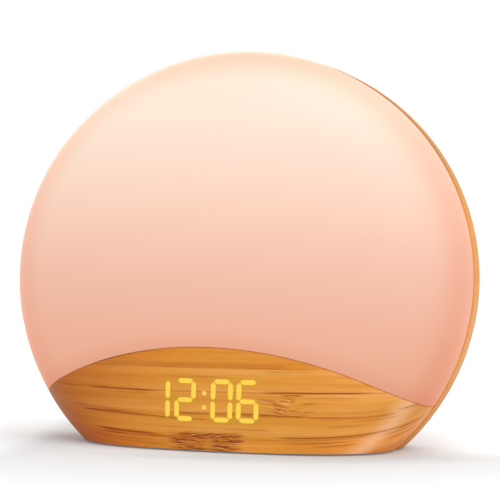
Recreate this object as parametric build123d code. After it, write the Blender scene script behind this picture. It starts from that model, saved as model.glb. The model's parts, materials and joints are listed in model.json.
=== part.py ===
from build123d import *
from math import atan2, cos, hypot, radians, sin, sqrt, tan
import os

os.makedirs("parts", exist_ok=True)

# Sunrise alarm clock. Lengths in millimetres, angles in degrees.
# Pieces are modelled about the centre of the rim, the oval joint between the front dome and the
# rear shell: +X to the right, -Y to the front, +Z up. save() then moves them to the part's origin,
# on the surface it stands on, under the middle of its depth.

# Housing outline
rim_width = 185.0            # the dome across its rim
oval = 0.970                 # height of the round housing over its width
front_band = 4.7             # straight band of the dome beside the rim
shoulder_radius = 34.3       # rounding of the dome between the band and the crown
crown_radius = 244.4         # shallow curve of the dome's middle
base_drop = 65.5             # rim centre down to the flat underside
rear_depth = 30.0            # rim back to the flat rear panel
rear_step = 0.5              # the rear shell stands this proud of the dome
rear_flare = 0.3             # its band widens by this much more
rear_band = 7.0              # depth of that band
rear_shoulder = 24.0         # rounding from the band to the rear panel
foot_proud = 0.6             # feet below the underside

# Walls, joints and clearances
wall = 2.6                   # moulded shells
seam_width = 0.2             # joint line between the diffuser and the fascia
rim_gap = 0.3                # joint line between the dome and the rear shell
fit_gap = 0.2                # pieces that locate in each other
board_thickness = 1.6
rib_thickness = 1.6

# Joint line between the diffuser and the fascia: an arc in the front view
seam_peak = 26.6             # rim centre down to its middle
seam_end = 48.1              # rim centre down to its two ends
tongue_depth = 3.0           # the diffuser's tongue behind the fascia
tongue_root = 2.0
tongue_wall = 1.2

# Ring on the rear shell that centres the dome
spigot_reach = 3.5
spigot_wall = 1.5
spigot_root = 3.0

# Display, behind a thin skin of the fascia
display_drop = 46.8          # rim centre down to the middle of the digits
skin = 0.8                   # what is left of the fascia over the display
digit_height = 16.4
digit_width = 8.5
digit_pitch = 9.9
colon_gap = 14.4             # spacing of the two middle digits
segment_width = 2.1
segment_gap = 0.3
digit_slant = 5.0
colon_dot = 1.9
colon_spread = 5.6
housing_margin = 3.4         # display housing beyond the digits
housing_depth = 7.0
well_depth = 3.0
display_setback = 3.2        # front skin to the face of the display housing
gasket_wall = 1.4
display_board_margin = 5.5
display_board_thickness = 1.2

# Screws
screw_radius = 1.45          # long housing screws
screw_head_radius = 2.7
screw_head_height = 2.0
screw_bite = 8.0             # length of thread in its boss
small_screw_radius = 1.05
small_head_radius = 2.0
small_head_height = 1.3
clamp_head_radius = 4.15     # wide heads over the speaker's flange
small_bite = 4.5
pilot_gap = 0.05             # thread in its pilot hole
screw_clearance = 0.25       # shank in a clearance hole
boss_wall = 2.0
screw_hole_depth = 1.0       # pilot hole beyond the screw's tip
seat_depth = 4.0             # rim back to the seats of the long screws

# Housing screw places
upper_screw_angle = 49.0     # from the horizontal, on the rim
upper_screw_inset = 5.9      # in from the rim
upper_lug_depth = 11.0
lower_screw_x = 56.0
lower_screw_drop = 50.0

# Speaker
speaker_radius = 25.0
speaker_rise = 16.0          # rim centre up to its axis
speaker_flange = 1.2
speaker_gasket_thickness = 0.8
basket_depth = 8.0
basket_wall = 1.0
basket_rear_radius = 12.5
basket_windows = 6
basket_window_width = 7.0
basket_window_start = 10.5   # from the speaker's axis
magnet_radius = 14.0
magnet_thickness = 6.0
magnet_edge = 0.8
cone_radius = 17.5
cone_rear_radius = 6.5
cone_depth = 5.5
cone_wall = 0.5
cone_setback = 0.6           # its outer edge behind the surround
surround_width = 4.0
surround_lip = 1.2           # flat edge of the surround, glued to the frame
dust_cap_rise = 2.2
dust_cap_lap = 0.6           # onto the cone
dust_cap_lift = 0.4
speaker_ring_wall = 1.4
grille_radius = 21.0
grille_rings = 4
grille_hole_radius = 1.15

# Keys
key_names = ["light", "snooze", "sound", "plus", "minus", "clock", "alarm_two", "alarm_one"]
key_circle = 56.0
key_first_angle = 56.0
key_step_angle = 26.0
keys_per_side = 4
key_radius = 5.2
key_proud = 0.9
key_dish = 0.35              # hollow in the key's face
key_edge = 0.4
key_gap = 0.3                # key in its hole
key_flange_wall = 1.3
key_flange_thickness = 1.0
key_rest_gap = 0.1
key_stem_radius = 1.6
key_stem_length = 1.5
key_travel = 0.5
plunger_radius = 1.7
plunger_proud = 1.2
plunger_depth = 1.0
plunger_gap = 0.08
switch_size = 6.0
switch_height = 3.4
key_board_width = 16.0
key_board_tail = 10.0        # the key board beyond its end keys, in degrees of arc

# Light unit
chassis_front = 2.0          # rim back to the front face of the reflector
chassis_wall = 1.8
chassis_lip = 3.0
baffle_rise = 3.0            # light baffle above the seam
led_board_radius = 36.0
led_board_rise = 22.0
led_rings = 3
led_ring_step = 9.0
led_size = 3.5
led_height = 1.2
post_radius = 3.3
post_x = 34.0
post_heights = [-16.0, 61.0]

# Main board and what it carries
main_board_width = 80.0
main_board_bottom = 53.0     # rim centre down to its lower edge
main_board_top = 22.0
can_rise = 9.0               # capacitors above the board's lower edge
large_can_radius = 4.0
large_can_height = 10.0
small_can_radius = 3.2
small_can_height = 8.0
can_spacing = 15.0
can_inset = 12.0             # end cans in from the board's ends
chip_thickness = 1.4
chip_clearance = 0.5         # chips above the tops of the cans
control_chip_width = 14.0
control_chip_height = 12.0
memory_chip_width = 6.0
memory_chip_height = 8.0
memory_inset = 23.0          # middles of the end chips in from the board's ends
regulator_size = 6.0
regulator_inset = 21.0
inlet_inset = 11.0           # power socket in from the board's end
inlet_drop = 44.0
inlet_width = 9.0
inlet_height = 3.3
inlet_wall = 0.35
inlet_setback = 0.8          # its mouth behind the rear panel
inlet_corner = 1.5
inlet_tongue_width = 6.6
inlet_tongue_thickness = 0.7
inlet_tongue_setback = 0.9
inlet_plug_depth = 6.5
inlet_opening_gap = 0.35

# Backup cell
cell_radius = 10.0
cell_thickness = 3.2
cell_gap = 0.15
holder_size = 22.6
holder_floor = 2.0
holder_rim = 1.6
contact_thickness = 0.3
contact_width = 6.0
contact_reach = 3.0          # bent contact over the cell's edge
lower_contact_radius = 6.0
cell_edge = 0.3
door_drop = 38.0             # rim centre down to the middle of the battery door
door_size = 26.0             # opening in the rear panel
door_thickness = 1.8
door_gap = 0.3
door_ledge = 0.7
hinge_pin_radius = 0.6
hinge_pin_length = 1.0
hinge_pin_gap = 0.05
nail_notch_radius = 4.0
bay_wall = 1.5

# Base
base_thickness = 2.0
base_recess = 0.3
foot_radius = 5.0
foot_seat = 0.7
foot_x = 34.0
foot_front = 21.0            # rim forward to the front feet
foot_back = 18.0             # rim back to the rear feet
base_screw_x = 44.0
base_screw_front = 10.0
base_screw_back = 8.0
base_rib_pitch = 15.0
base_boss_height = 9.0
base_rib_height = 2.5
base_head_sink = 1.1         # screw heads let into the base plate

# Wires
wire_radius = 0.6
ribbon_width = 12.0
ribbon_thickness = 0.5
header_height = 4.0
header_length = 9.0
header_width = 5.0
header_inset = 20.5          # lead headers in from the board's ends
wire_spacing = 2.4
lead_run = 5.0               # straight run of a lead into its header

# Worked out from the sizes above
half_width = rim_width / 2
shoulder_middle = half_width - shoulder_radius
crown_reach = crown_radius - shoulder_radius
crown_middle = sqrt(crown_reach ** 2 - shoulder_middle ** 2) - front_band
crown_angle = atan2(shoulder_middle, crown_middle + front_band)
dome_depth = crown_radius - crown_middle
underside = -base_drop
key_top = rear_depth + key_proud
rim_y = (dome_depth - key_top) / 2
rim_z = base_drop + foot_proud
rear_inner = rear_depth - wall
far = rim_width              # larger than anything here, for cutting

seam_reach = half_width * sqrt(1 - (seam_end / (oval * half_width)) ** 2)
seam_sag = seam_end - seam_peak
seam_radius = (seam_reach ** 2 + seam_sag ** 2) / (2 * seam_sag)
seam_middle = -seam_peak - seam_radius

key_flange_back = rear_inner - key_rest_gap
key_flange_front = key_flange_back - key_flange_thickness
key_stem_end = key_flange_front - key_stem_length
switch_face = key_stem_end - plunger_proud
board_back = switch_face - switch_height
board_front = board_back - board_thickness
pilot_radius = screw_radius + pilot_gap
small_pilot_radius = small_screw_radius + pilot_gap
boss_radius = pilot_radius + boss_wall
small_boss_radius = small_pilot_radius + 1.5
chassis_back = chassis_front + chassis_wall
chassis_inset = wall + fit_gap + spigot_wall + 2 * fit_gap

base_bottom = underside + base_recess
base_top = base_bottom + base_thickness
screw_seat = rim_gap + seat_depth
hinge_y = rear_depth - door_thickness / 2
hinge_z = -door_drop - door_size / 2 + door_gap + door_thickness / 2
inlet_x = main_board_width / 2 - inlet_inset
speaker_header_x = main_board_width / 2 - header_inset
led_header_x = -speaker_header_x
header_z = -(main_board_top + header_width)
ribbon_z = -main_board_bottom + header_height
speaker_front = rear_inner - speaker_gasket_thickness
flange_front = speaker_front - speaker_flange


def save(name, solids):
    """Write one piece to its STEP file, in the part's own frame."""
    placed = Pos(0, rim_y, rim_z) * solids
    placed.label = name
    export_step(placed, f"parts/{name}.step")


def group(solids):
    """Separate solids that share one file."""
    return Compound(children=list(solids))


def block(x_range, y_range, z_range):
    """A box between the given limits."""
    size = [high - low for low, high in (x_range, y_range, z_range)]
    middle = [(high + low) / 2 for low, high in (x_range, y_range, z_range)]
    return Pos(*middle) * Box(*size)


def rod(radius, y_start, y_end, x=0, z=0):
    """A round bar along Y."""
    return Pos(x, (y_start + y_end) / 2, z) * Rot(90, 0, 0) * Cylinder(radius, y_end - y_start)


def upright(radius, z_start, z_end, x, y):
    """A round bar along Z."""
    return Pos(x, y, (z_start + z_end) / 2) * Cylinder(radius, z_end - z_start)


def side_web(x, y_range, z_range):
    """A web from x out to the housing's side wall."""
    return block((min(x, x * 3), max(x, x * 3)), y_range, z_range)


def turned(*edges):
    """A solid turned about the Y axis from edges drawn in radius and depth."""
    outline = edges[0]
    for edge in edges[1:]:
        outline += edge
    return revolve(make_face(outline), Axis.Y)


def ovalled(solid):
    """Squash a turned form to the housing's oval."""
    return scale(solid, by=(1, 1, oval))


def dome_solid(inset):
    """The front dome, drawn in by inset, running on behind the rim."""
    shoulder = shoulder_radius - inset
    crown = crown_radius - inset
    half_turn = (radians(90) - crown_angle) / 2
    rim_front = (half_width - inset, -front_band)
    bend = (shoulder_middle + shoulder * cos(half_turn), -front_band - shoulder * sin(half_turn))
    join = (shoulder_middle + shoulder * sin(crown_angle), -front_band - shoulder * cos(crown_angle))
    crown_bend = (crown * sin(crown_angle / 2), crown_middle - crown * cos(crown_angle / 2))
    apex = (0, crown_middle - crown)
    back = (0, rear_band)
    rim_back = (half_width - inset, rear_band)
    return ovalled(turned(
        Line(back, rim_back),
        Line(rim_back, rim_front),
        ThreePointArc(rim_front, bend, join),
        ThreePointArc(join, crown_bend, apex),
        Line(apex, back),
    ))


def rear_solid(inset, front):
    """The rear housing, drawn in by inset, starting at the given depth."""
    band = half_width + rear_step - inset
    flared = band + rear_flare
    middle = (flared - rear_shoulder + inset, rear_band)
    shoulder = rear_shoulder - inset
    bend = (middle[0] + shoulder * cos(radians(45)), rear_band + shoulder * sin(radians(45)))
    panel_edge = (middle[0], rear_depth - inset)
    panel_middle = (0, rear_depth - inset)
    return ovalled(turned(
        Line((0, front), (band, front)),
        Line((band, front), (flared, rear_band)),
        ThreePointArc((flared, rear_band), bend, panel_edge),
        Line(panel_edge, panel_middle),
        Line(panel_middle, (0, front)),
    ))


def oval_ring(outer_inset, inner_inset, y_range):
    """An oval band, its two sides set in from the rim."""
    half = (y_range[1] - y_range[0]) / 2
    ring = rod(half_width - outer_inset, -half, half)
    if inner_inset is not None:
        ring -= rod(half_width - inner_inset, -half - 1, half + 1)
    return Pos(0, y_range[0] + half, 0) * ovalled(ring)


def below_seam(lower=0.0):
    """Everything under the joint line, or under a line the given distance below it."""
    return rod(seam_radius - lower, -far, far, 0, seam_middle)


def dome_surface(x, z):
    """Depth of the dome's outer surface in front of the rim."""
    radius = hypot(x, z / oval)
    if radius < crown_radius * sin(crown_angle):
        return crown_middle - sqrt(crown_radius ** 2 - radius ** 2)
    return -front_band - sqrt(shoulder_radius ** 2 - (radius - shoulder_middle) ** 2)


in_front = block((-far, far), (-far, 0), (-far, far))
behind = block((-far, far), (rim_gap, far), (-far, far))
above_underside = block((-far, far), (-far, far), (underside, far))

upper_screw_radius = half_width - upper_screw_inset
upper_screw_x = upper_screw_radius * cos(radians(upper_screw_angle))
upper_screw_z = upper_screw_radius * sin(radians(upper_screw_angle)) * oval
upper_screws = [(side * upper_screw_x, upper_screw_z) for side in (-1, 1)]
lower_screws = [(side * lower_screw_x, -lower_screw_drop) for side in (-1, 1)]
housing_screws = upper_screws + lower_screws

# The display's own plane: its origin on the fascia's face, its normal square to it
display_slope = display_drop / oval / sqrt(crown_radius ** 2 - (display_drop / oval) ** 2) / oval
display_tilt = atan2(display_slope, 1)
display_place = Plane(
    origin=(0, dome_surface(0, display_drop), -display_drop),
    x_dir=(1, 0, 0),
    z_dir=(0, -cos(display_tilt), -sin(display_tilt)),
).location
digit_xs = [
    side * (colon_gap / 2 + place * digit_pitch) for side in (-1, 1) for place in (0, 1)
]
display_width = colon_gap + 2 * digit_pitch + digit_width + 2 * housing_margin
display_height = digit_height + 2 * housing_margin
housing_face = -display_setback
housing_back = housing_face - housing_depth
display_board_back = housing_back - display_board_thickness


def key_places():
    """Each key's name and its place on the rear panel, right column first as seen from the front."""
    places = []
    for number, name in enumerate(key_names):
        side = 1 if number < keys_per_side else -1
        step = number % keys_per_side
        if side < 0:
            step = keys_per_side - 1 - step
        angle = radians(key_first_angle - step * key_step_angle)
        places.append((name, side * key_circle * cos(angle), key_circle * sin(angle)))
    return places


def key_board_posts():
    """Screw places between the keys, on both key boards."""
    places = []
    for side in (-1, 1):
        for step in range(keys_per_side - 1):
            angle = radians(key_first_angle - (step + 0.5) * key_step_angle)
            places.append((side * key_circle * cos(angle), key_circle * sin(angle)))
    return places


def main_board_posts():
    """Screw places at the corners of the main board."""
    x = main_board_width / 2 - small_boss_radius - 1
    low = -main_board_bottom + small_boss_radius + 1
    high = -main_board_top - small_boss_radius - 1
    return [(side * x, z) for side in (-1, 1) for z in (low, high)]


def speaker_posts():
    """Screw places round the speaker's flange."""
    reach = speaker_radius + small_boss_radius + fit_gap
    return [
        (reach * cos(radians(angle)), speaker_rise + reach * sin(radians(angle)))
        for angle in (45, 135, 225, 315)
    ]


def digit_prisms(depth):
    """The seven segments of each digit and the two colon dots, standing on the display face."""
    lean = tan(radians(digit_slant))
    tip = segment_width / 2
    column = (digit_width - segment_width) / 2
    row = (digit_height - segment_width) / 2
    prisms = []

    def prism(x, y, length, upright_segment):
        half = length / 2 - segment_gap
        corners = [(-half, 0), (-half + tip, tip), (half - tip, tip)]
        corners += [(-a, -b) for a, b in corners]
        if upright_segment:
            corners = [(b, a) for a, b in corners]
        placed = [(x + a + (y + b) * lean, y + b) for a, b in corners]
        prisms.append(extrude(make_face(Polyline(*placed, close=True)), -depth))

    for x in digit_xs:
        for level in (-1, 0, 1):
            prism(x, level * row, 2 * column, False)
        for side in (-1, 1):
            for level in (-1, 1):
                prism(x + side * column, level * row / 2, row, True)
    for level in (-1, 1):
        y = level * colon_spread / 2
        prisms.append(Pos(y * lean, y, -depth / 2) * Box(colon_dot, colon_dot, depth))
    return prisms


def make_diffuser():
    """Frosted dome above the joint line, with a tongue behind the fascia and two screw lugs."""
    shell = dome_solid(0) - dome_solid(wall)
    shell = shell & in_front
    shell -= below_seam(-seam_width / 2)
    inner = dome_solid(wall + fit_gap + tongue_wall)
    clear_of_rim = block((-far, far), (-far, -spigot_reach - fit_gap), (-far, far))
    tongue = (dome_solid(wall + fit_gap) - inner) & clear_of_rim
    tongue = (tongue - below_seam(tongue_depth)) & below_seam(-tongue_root)
    root = (dome_solid(wall / 2) - inner) & clear_of_rim
    root = (root - below_seam(-seam_width / 2)) & below_seam(-tongue_root)
    shell = shell + root + tongue
    trim = dome_solid(wall / 2) & in_front
    for x, z in upper_screws:
        lug = rod(boss_radius, -upper_lug_depth, 0, x, z) & trim
        shell += lug
    for x, z in upper_screws:
        shell -= rod(pilot_radius, -screw_bite - screw_hole_depth, 1, x, z)
    return shell


def make_fascia():
    """Lower front of the housing: thin window over the display, screw bosses and ribs."""
    shell = (dome_solid(0) - dome_solid(wall)) & in_front & above_underside
    shell &= below_seam(seam_width / 2)
    window = display_place * Box(display_width, display_height, 4 * wall)
    shell -= window & dome_solid(skin)
    trim = dome_solid(wall / 2) & in_front
    for x, z in lower_screws:
        shell += rod(boss_radius, -dome_depth, 0, x, z) & trim
        shell += side_web(x, (-dome_depth, -spigot_reach - 1), (z - rib_thickness, z)) & trim
    for x, y in front_base_screws():
        shell += upright(boss_radius, base_top, base_top + base_boss_height, x, y)
        shell += side_web(x, (y - rib_thickness / 2, y + rib_thickness / 2),
                          (base_top, base_top + base_boss_height)) & trim
    for x, y in display_posts():
        post = display_place * Pos(x, y, housing_back / 2)
        shell += (post * Cylinder(small_boss_radius, -housing_back)) & trim
    for x, z in lower_screws:
        shell -= rod(pilot_radius, -screw_bite - screw_hole_depth, 1, x, z)
    for x, y in front_base_screws():
        shell -= upright(pilot_radius, underside, base_top + screw_bite, x, y)
    for x, y in display_posts():
        shell -= display_place * Pos(x, y, housing_back) * Cylinder(small_pilot_radius, 2 * small_bite)
    return shell


def display_posts():
    """Screw places beside the display housing, in the display's plane."""
    x = display_width / 2 + small_boss_radius + 2 * fit_gap
    y = display_height / 2 - small_boss_radius
    return [(side * x, level * y) for side in (-1, 1) for level in (-1, 1)]


def front_base_screws():
    return [(side * base_screw_x, -base_screw_front) for side in (-1, 1)]


def rear_base_screws():
    return [(side * base_screw_x, base_screw_back) for side in (-1, 1)]


def make_rear_shell():
    """Rear of the housing: grille, key holes, cell bay, inlet, screw tubes, posts and spigot."""
    shell = rear_solid(0, 0) - rear_solid(wall, -1)
    shell &= behind & above_underside
    shell += make_spigot()
    trim = rear_solid(wall / 2, 0) & behind
    inside = rear_inner + wall / 2

    for x, z in housing_screws:
        shell += rod(screw_head_radius + fit_gap + rib_thickness, rim_gap, rear_depth, x, z) & trim
    for z in post_heights:
        for side in (-1, 1):
            shell += rod(post_radius, chassis_back, rear_depth, side * post_x, z) & trim
    for x, z in key_board_posts() + main_board_posts():
        shell += rod(small_boss_radius, board_back, inside, x, z)
    for x, z in speaker_posts():
        shell += rod(small_boss_radius, flange_front, inside, x, z)
    speaker_ring = rod(speaker_radius + fit_gap + speaker_ring_wall, flange_front, inside, 0, speaker_rise)
    speaker_ring -= rod(speaker_radius + fit_gap, 0, rear_inner, 0, speaker_rise)
    shell += speaker_ring
    for x, y in rear_base_screws():
        shell += upright(boss_radius, base_top, base_top + base_boss_height, x, y)
        shell += side_web(x, (y - rib_thickness / 2, y + rib_thickness / 2),
                          (base_top, base_top + base_boss_height)) & trim
    bay = door_size / 2 - door_ledge
    bay_outer = bay + bay_wall
    shell += block((-bay_outer, bay_outer), (board_back + fit_gap, inside),
                   (-door_drop - bay_outer, -door_drop + bay_outer))

    for x, z in housing_screws:
        shell -= rod(screw_radius + screw_clearance, 0, rear_depth + 1, x, z)
        shell -= rod(screw_head_radius + fit_gap, screw_seat, rear_depth + 1, x, z)
    for z in post_heights:
        for side in (-1, 1):
            shell -= rod(small_pilot_radius, 0, chassis_back + small_bite + screw_hole_depth, side * post_x, z)
    for x, z in key_board_posts() + main_board_posts():
        shell -= rod(small_pilot_radius, 0, board_back + small_bite + screw_hole_depth, x, z)
    for x, z in speaker_posts():
        shell -= rod(small_pilot_radius, 0, rear_inner + wall / 3, x, z)
    for x, y in rear_base_screws():
        shell -= upright(pilot_radius, underside, base_top + screw_bite, x, y)
    for name, x, z in key_places():
        shell -= rod(key_radius + key_gap, rear_inner - 1, rear_depth + 1, x, z)
    shell -= block((-bay, bay), (0, rear_depth + 1), (-door_drop - bay, -door_drop + bay))
    half_door = door_size / 2
    shell -= block((-half_door, half_door), (rear_depth - door_thickness - pilot_gap, rear_depth + 1),
                   (-door_drop - half_door, -door_drop + half_door))
    shell -= Pos(0, hinge_y, hinge_z) * Rot(0, 90, 0) * Cylinder(
        hinge_pin_radius + hinge_pin_gap, door_size + 2 * hinge_pin_length)
    notch = rod(nail_notch_radius, rear_depth - door_thickness / 2, rear_depth + 1, 0, -door_drop + half_door)
    shell -= notch
    shell -= inlet_outline(inlet_opening_gap, rear_inner - 1, rear_depth + 1)
    for x, z in grille_places():
        shell -= rod(grille_hole_radius, rear_inner - 1, rear_depth + 1, x, z)
    return shell


def grille_places():
    """Speaker grille: a hole in the middle and rings of six more each time round it."""
    places = [(0, speaker_rise)]
    for ring in range(1, grille_rings + 1):
        radius = (grille_radius - grille_hole_radius) * ring / grille_rings
        for step in range(6 * ring):
            angle = radians(60 * step / ring)
            places.append((radius * cos(angle), speaker_rise + radius * sin(angle)))
    return places


def make_spigot():
    """Ring inside the rim, with room for the dome's screw lugs and the base."""
    outer = wall + fit_gap
    ring = oval_ring(outer, outer + spigot_wall, (-spigot_reach, spigot_root))
    ring += oval_ring(wall / 2, outer + spigot_wall, (2 * rim_gap, spigot_root))
    ring &= block((-far, far), (-far, far), (base_top + fit_gap, far))
    for x, z in housing_screws:
        ring -= rod(boss_radius + fit_gap, -far, rim_gap, x, z)
    return ring


def inlet_outline(grow, y_start, y_end):
    """A bar with the power socket's rounded section."""
    section = RectangleRounded(inlet_width + 2 * grow, inlet_height + 2 * grow, inlet_corner + grow)
    bar = extrude(section, y_end - y_start)
    return Pos(inlet_x, y_end, -inlet_drop) * Rot(90, 0, 0) * bar


def make_base_plate():
    """Flat cover between the two shells, with seats for the feet and countersunk holes."""
    slab = block((-far, far), (-far, far), (base_bottom, base_top))
    gap = wall + fit_gap
    front = (dome_solid(gap) & in_front & slab)
    rear = rear_solid(gap, 0) & slab & block((-far, far), (0, far), (-far, far))
    plate = front + rear
    rib_front = -foot_front + foot_radius
    rib_back = foot_back - foot_radius
    for step in (-1, 0, 1):
        x = step * base_rib_pitch
        plate += block((x - rib_thickness / 2, x + rib_thickness / 2), (rib_front, rib_back),
                       (base_bottom, base_top + base_rib_height))
    for x, y in foot_places():
        plate -= upright(foot_radius + pilot_gap, underside - 1, base_bottom + foot_seat, x, y)
    for x, y in front_base_screws() + rear_base_screws():
        plate -= upright(screw_radius + screw_clearance, underside, base_top + 1, x, y)
        plate -= upright(screw_head_radius + fit_gap, underside - 1, base_bottom + base_head_sink, x, y)
    return plate


def foot_places():
    return [(side * foot_x, y) for side in (-1, 1) for y in (-foot_front, foot_back)]


def make_feet():
    feet = []
    for x, y in foot_places():
        foot = upright(foot_radius, underside - foot_proud, base_bottom + foot_seat, x, y)
        feet.append(chamfer(foot.edges().group_by(Axis.Z)[0], foot_proud / 3))
    return group(feet)


def make_chassis():
    """White reflector: oval plate with a lip, and a baffle that follows the joint line."""
    inside = oval_ring(chassis_inset, None, (-far / 2, chassis_back))
    plate = oval_ring(chassis_inset, None, (chassis_front, chassis_back))
    lip = oval_ring(chassis_inset, chassis_inset + rib_thickness, (chassis_front - chassis_lip, chassis_back))
    body = (plate + lip) - below_seam(-baffle_rise)
    baffle = below_seam(-baffle_rise - rib_thickness) - below_seam(-baffle_rise)
    baffle &= dome_solid(wall + 2 * fit_gap) & inside
    body += baffle
    for x, z in upper_screws:
        body -= rod(boss_radius + rib_thickness, -far, far, x, z)
    for z in post_heights:
        for side in (-1, 1):
            body -= rod(small_screw_radius + screw_clearance, 0, far, side * post_x, z)
    for x, z in led_board_screws():
        body += rod(small_boss_radius, chassis_front, chassis_back + small_bite, x, z)
        body -= rod(small_pilot_radius, 0, chassis_back + small_bite - 1, x, z)
    window = led_header_place()
    body -= block((window[0] - header_length / 2 - 1, window[0] + header_length / 2 + 1), (0, far),
                  (window[1] - header_width / 2 - 1, window[1] + header_width / 2 + 1))
    return body


def led_header_place():
    return (0, led_board_rise - led_board_radius + header_width)


def led_board_screws():
    reach = led_board_radius - small_head_radius - 1
    return [
        (reach * cos(radians(angle)), led_board_rise + reach * sin(radians(angle)))
        for angle in (90, 210, 330)
    ]


def make_led_board():
    board = rod(led_board_radius, chassis_front - board_thickness, chassis_front, 0, led_board_rise)
    for x, z in led_board_screws():
        board -= rod(small_screw_radius + screw_clearance, -far, far, x, z)
    return board


def make_led_chips():
    """Rings of small light chips, six more in each ring."""
    front = chassis_front - board_thickness
    chips = []
    for ring in range(1, led_rings + 1):
        for step in range(6 * ring):
            angle = 60 * step / ring + 30 / ring
            chip = Pos(ring * led_ring_step, front - led_height / 2, 0) * Box(led_size, led_height, led_size)
            chips.append(Pos(0, 0, led_board_rise) * Rot(0, angle, 0) * chip)
    return group(chips)


def make_display_housing():
    """Box with one light well for each segment."""
    body = Pos(0, 0, (housing_face + housing_back) / 2) * Box(display_width, display_height, housing_depth)
    body = body - [Pos(0, 0, housing_face) * prism for prism in digit_prisms(well_depth)]
    return display_place * body


def make_digit_segments():
    return group(display_place * Pos(0, 0, housing_face) * prism for prism in digit_prisms(well_depth))


def make_display_gasket():
    """Foam frame between the skin of the fascia and the display housing."""
    frame = Box(display_width - fit_gap, display_height - fit_gap, 4 * wall)
    frame -= Box(display_width - 2 * gasket_wall, display_height - 2 * gasket_wall, 5 * wall)
    slab = Pos(0, 0, housing_face + wall) * Box(far, far, 2 * wall)
    return display_place * (frame & slab) & dome_solid(skin + pilot_gap)


def make_display_board():
    height = display_height
    width = display_width + 2 * (display_board_margin + fit_gap)
    board = Pos(0, 0, housing_back - display_board_thickness / 2) * Box(width, height, display_board_thickness)
    for x, y in display_posts():
        board -= Pos(x, y, housing_back) * Cylinder(small_screw_radius + screw_clearance, 4)
    return display_place * board


def make_speaker():
    """The loudspeaker's pieces, turned about its axis with their front to the rear panel."""
    front = speaker_front
    back = flange_front
    basket_back = back - basket_depth
    roll_inner = cone_radius
    roll_outer = cone_radius + surround_width
    roll_edge = roll_outer + surround_lip
    place = Pos(0, 0, speaker_rise)
    frame = turned(Polyline(
        (roll_outer, front), (speaker_radius, front), (speaker_radius, back),
        (roll_outer + basket_wall, back), (basket_rear_radius + basket_wall, basket_back),
        (cone_rear_radius, basket_back), (cone_rear_radius, basket_back + basket_wall),
        (basket_rear_radius, basket_back + basket_wall), (roll_outer, back - basket_wall),
        close=True))
    window_length = roll_outer - basket_window_start + 1
    window = Pos(basket_window_start + window_length / 2, back - basket_depth / 2, 0)
    window *= Box(window_length, basket_depth / 2, basket_window_width)
    for step in range(basket_windows):
        frame -= Rot(0, 360 * step / basket_windows, 0) * window
    magnet = rod(magnet_radius, basket_back - magnet_thickness, basket_back)
    magnet = chamfer(magnet.edges().group_by(Axis.Y)[0], magnet_edge)
    cone_front = front - cone_setback
    cone_back = front - cone_depth
    cone = turned(Polyline(
        (cone_rear_radius, cone_back), (roll_inner, cone_front), (roll_inner, cone_front + cone_wall),
        (cone_rear_radius, cone_back + cone_wall), close=True))
    middle = (roll_inner + roll_outer) / 2
    rise = surround_width / 4
    surround = turned(
        ThreePointArc((roll_inner, front), (middle, front - rise), (roll_outer, front)),
        Line((roll_outer, front), (roll_edge, front)),
        Line((roll_edge, front), (roll_edge, front + cone_wall)),
        Line((roll_edge, front + cone_wall), (roll_outer, front + cone_wall)),
        ThreePointArc((roll_outer, front + cone_wall), (middle, front + cone_wall - rise),
                      (roll_inner, front + cone_wall)),
        Line((roll_inner, front + cone_wall), (roll_inner, front)),
    )
    cap_base = cone_back + cone_wall + dust_cap_lift
    cap_radius = cone_rear_radius + dust_cap_lap
    cap_sphere = (cap_radius ** 2 + dust_cap_rise ** 2) / (2 * dust_cap_rise)
    cap = Sphere(cap_sphere) - Sphere(cap_sphere - cone_wall)
    cap = Pos(0, cap_base + dust_cap_rise - cap_sphere, 0) * cap
    cap &= rod(cap_radius, cap_base, front)
    gasket = rod(speaker_radius, front, rear_inner) - rod(roll_edge + fit_gap, 0, far)
    return {
        "speaker_frame": place * frame,
        "speaker_magnet": place * magnet,
        "speaker_cone": place * cone,
        "speaker_surround": place * surround,
        "speaker_dust_cap": place * cap,
        "speaker_gasket": place * gasket,
    }


def make_key(x, z):
    """Round key: dished cap, retaining flange behind the panel and a stem to its switch."""
    cap = rod(key_radius, key_flange_back, key_top)
    cap = chamfer(cap.edges().group_by(Axis.Y)[-1], key_edge)
    hollow = key_radius - 2 * key_edge
    dish_radius = (hollow ** 2 + key_dish ** 2) / (2 * key_dish)
    cap -= Pos(0, key_top - key_dish + dish_radius, 0) * Sphere(dish_radius)
    cap += rod(key_radius + key_flange_wall, key_flange_front, key_flange_back)
    cap += rod(key_stem_radius, key_stem_end, key_flange_front)
    return Pos(x, 0, z) * cap


def make_key_board(side):
    """Arc-shaped board behind one column of keys."""
    start = key_first_angle + key_board_tail
    end = key_first_angle - (keys_per_side - 1) * key_step_angle - key_board_tail
    outer = key_circle + key_board_width / 2
    inner = key_circle - key_board_width / 2
    middle = (start + end) / 2
    corner = [polar(radius, angle) for radius in (inner, outer) for angle in (start, middle, end)]
    outline = ThreePointArc(corner[0], corner[1], corner[2]) + Line(corner[2], corner[5])
    outline += ThreePointArc(corner[5], corner[4], corner[3]) + Line(corner[3], corner[0])
    board = Rot(90, 0, 0) * extrude(make_face(outline), board_thickness)
    board = Pos(0, board_back, 0) * board
    for x, z in key_board_posts():
        if x > 0:
            board -= rod(small_screw_radius + screw_clearance, 0, far, x, z)
    return board if side > 0 else mirror(board, Plane.YZ)


def polar(radius, angle):
    return (radius * cos(radians(angle)), radius * sin(radians(angle)))


def make_switch_bodies():
    """Square switch housings on the key boards, each with a well for its plunger."""
    bodies = []
    half = switch_size / 2
    for name, x, z in key_places():
        body = block((x - half, x + half), (board_back, switch_face), (z - half, z + half))
        body -= rod(plunger_radius + plunger_gap, switch_face - plunger_depth - 2 * key_travel, switch_face + 1, x, z)
        bodies.append(body)
    return group(bodies)


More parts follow.
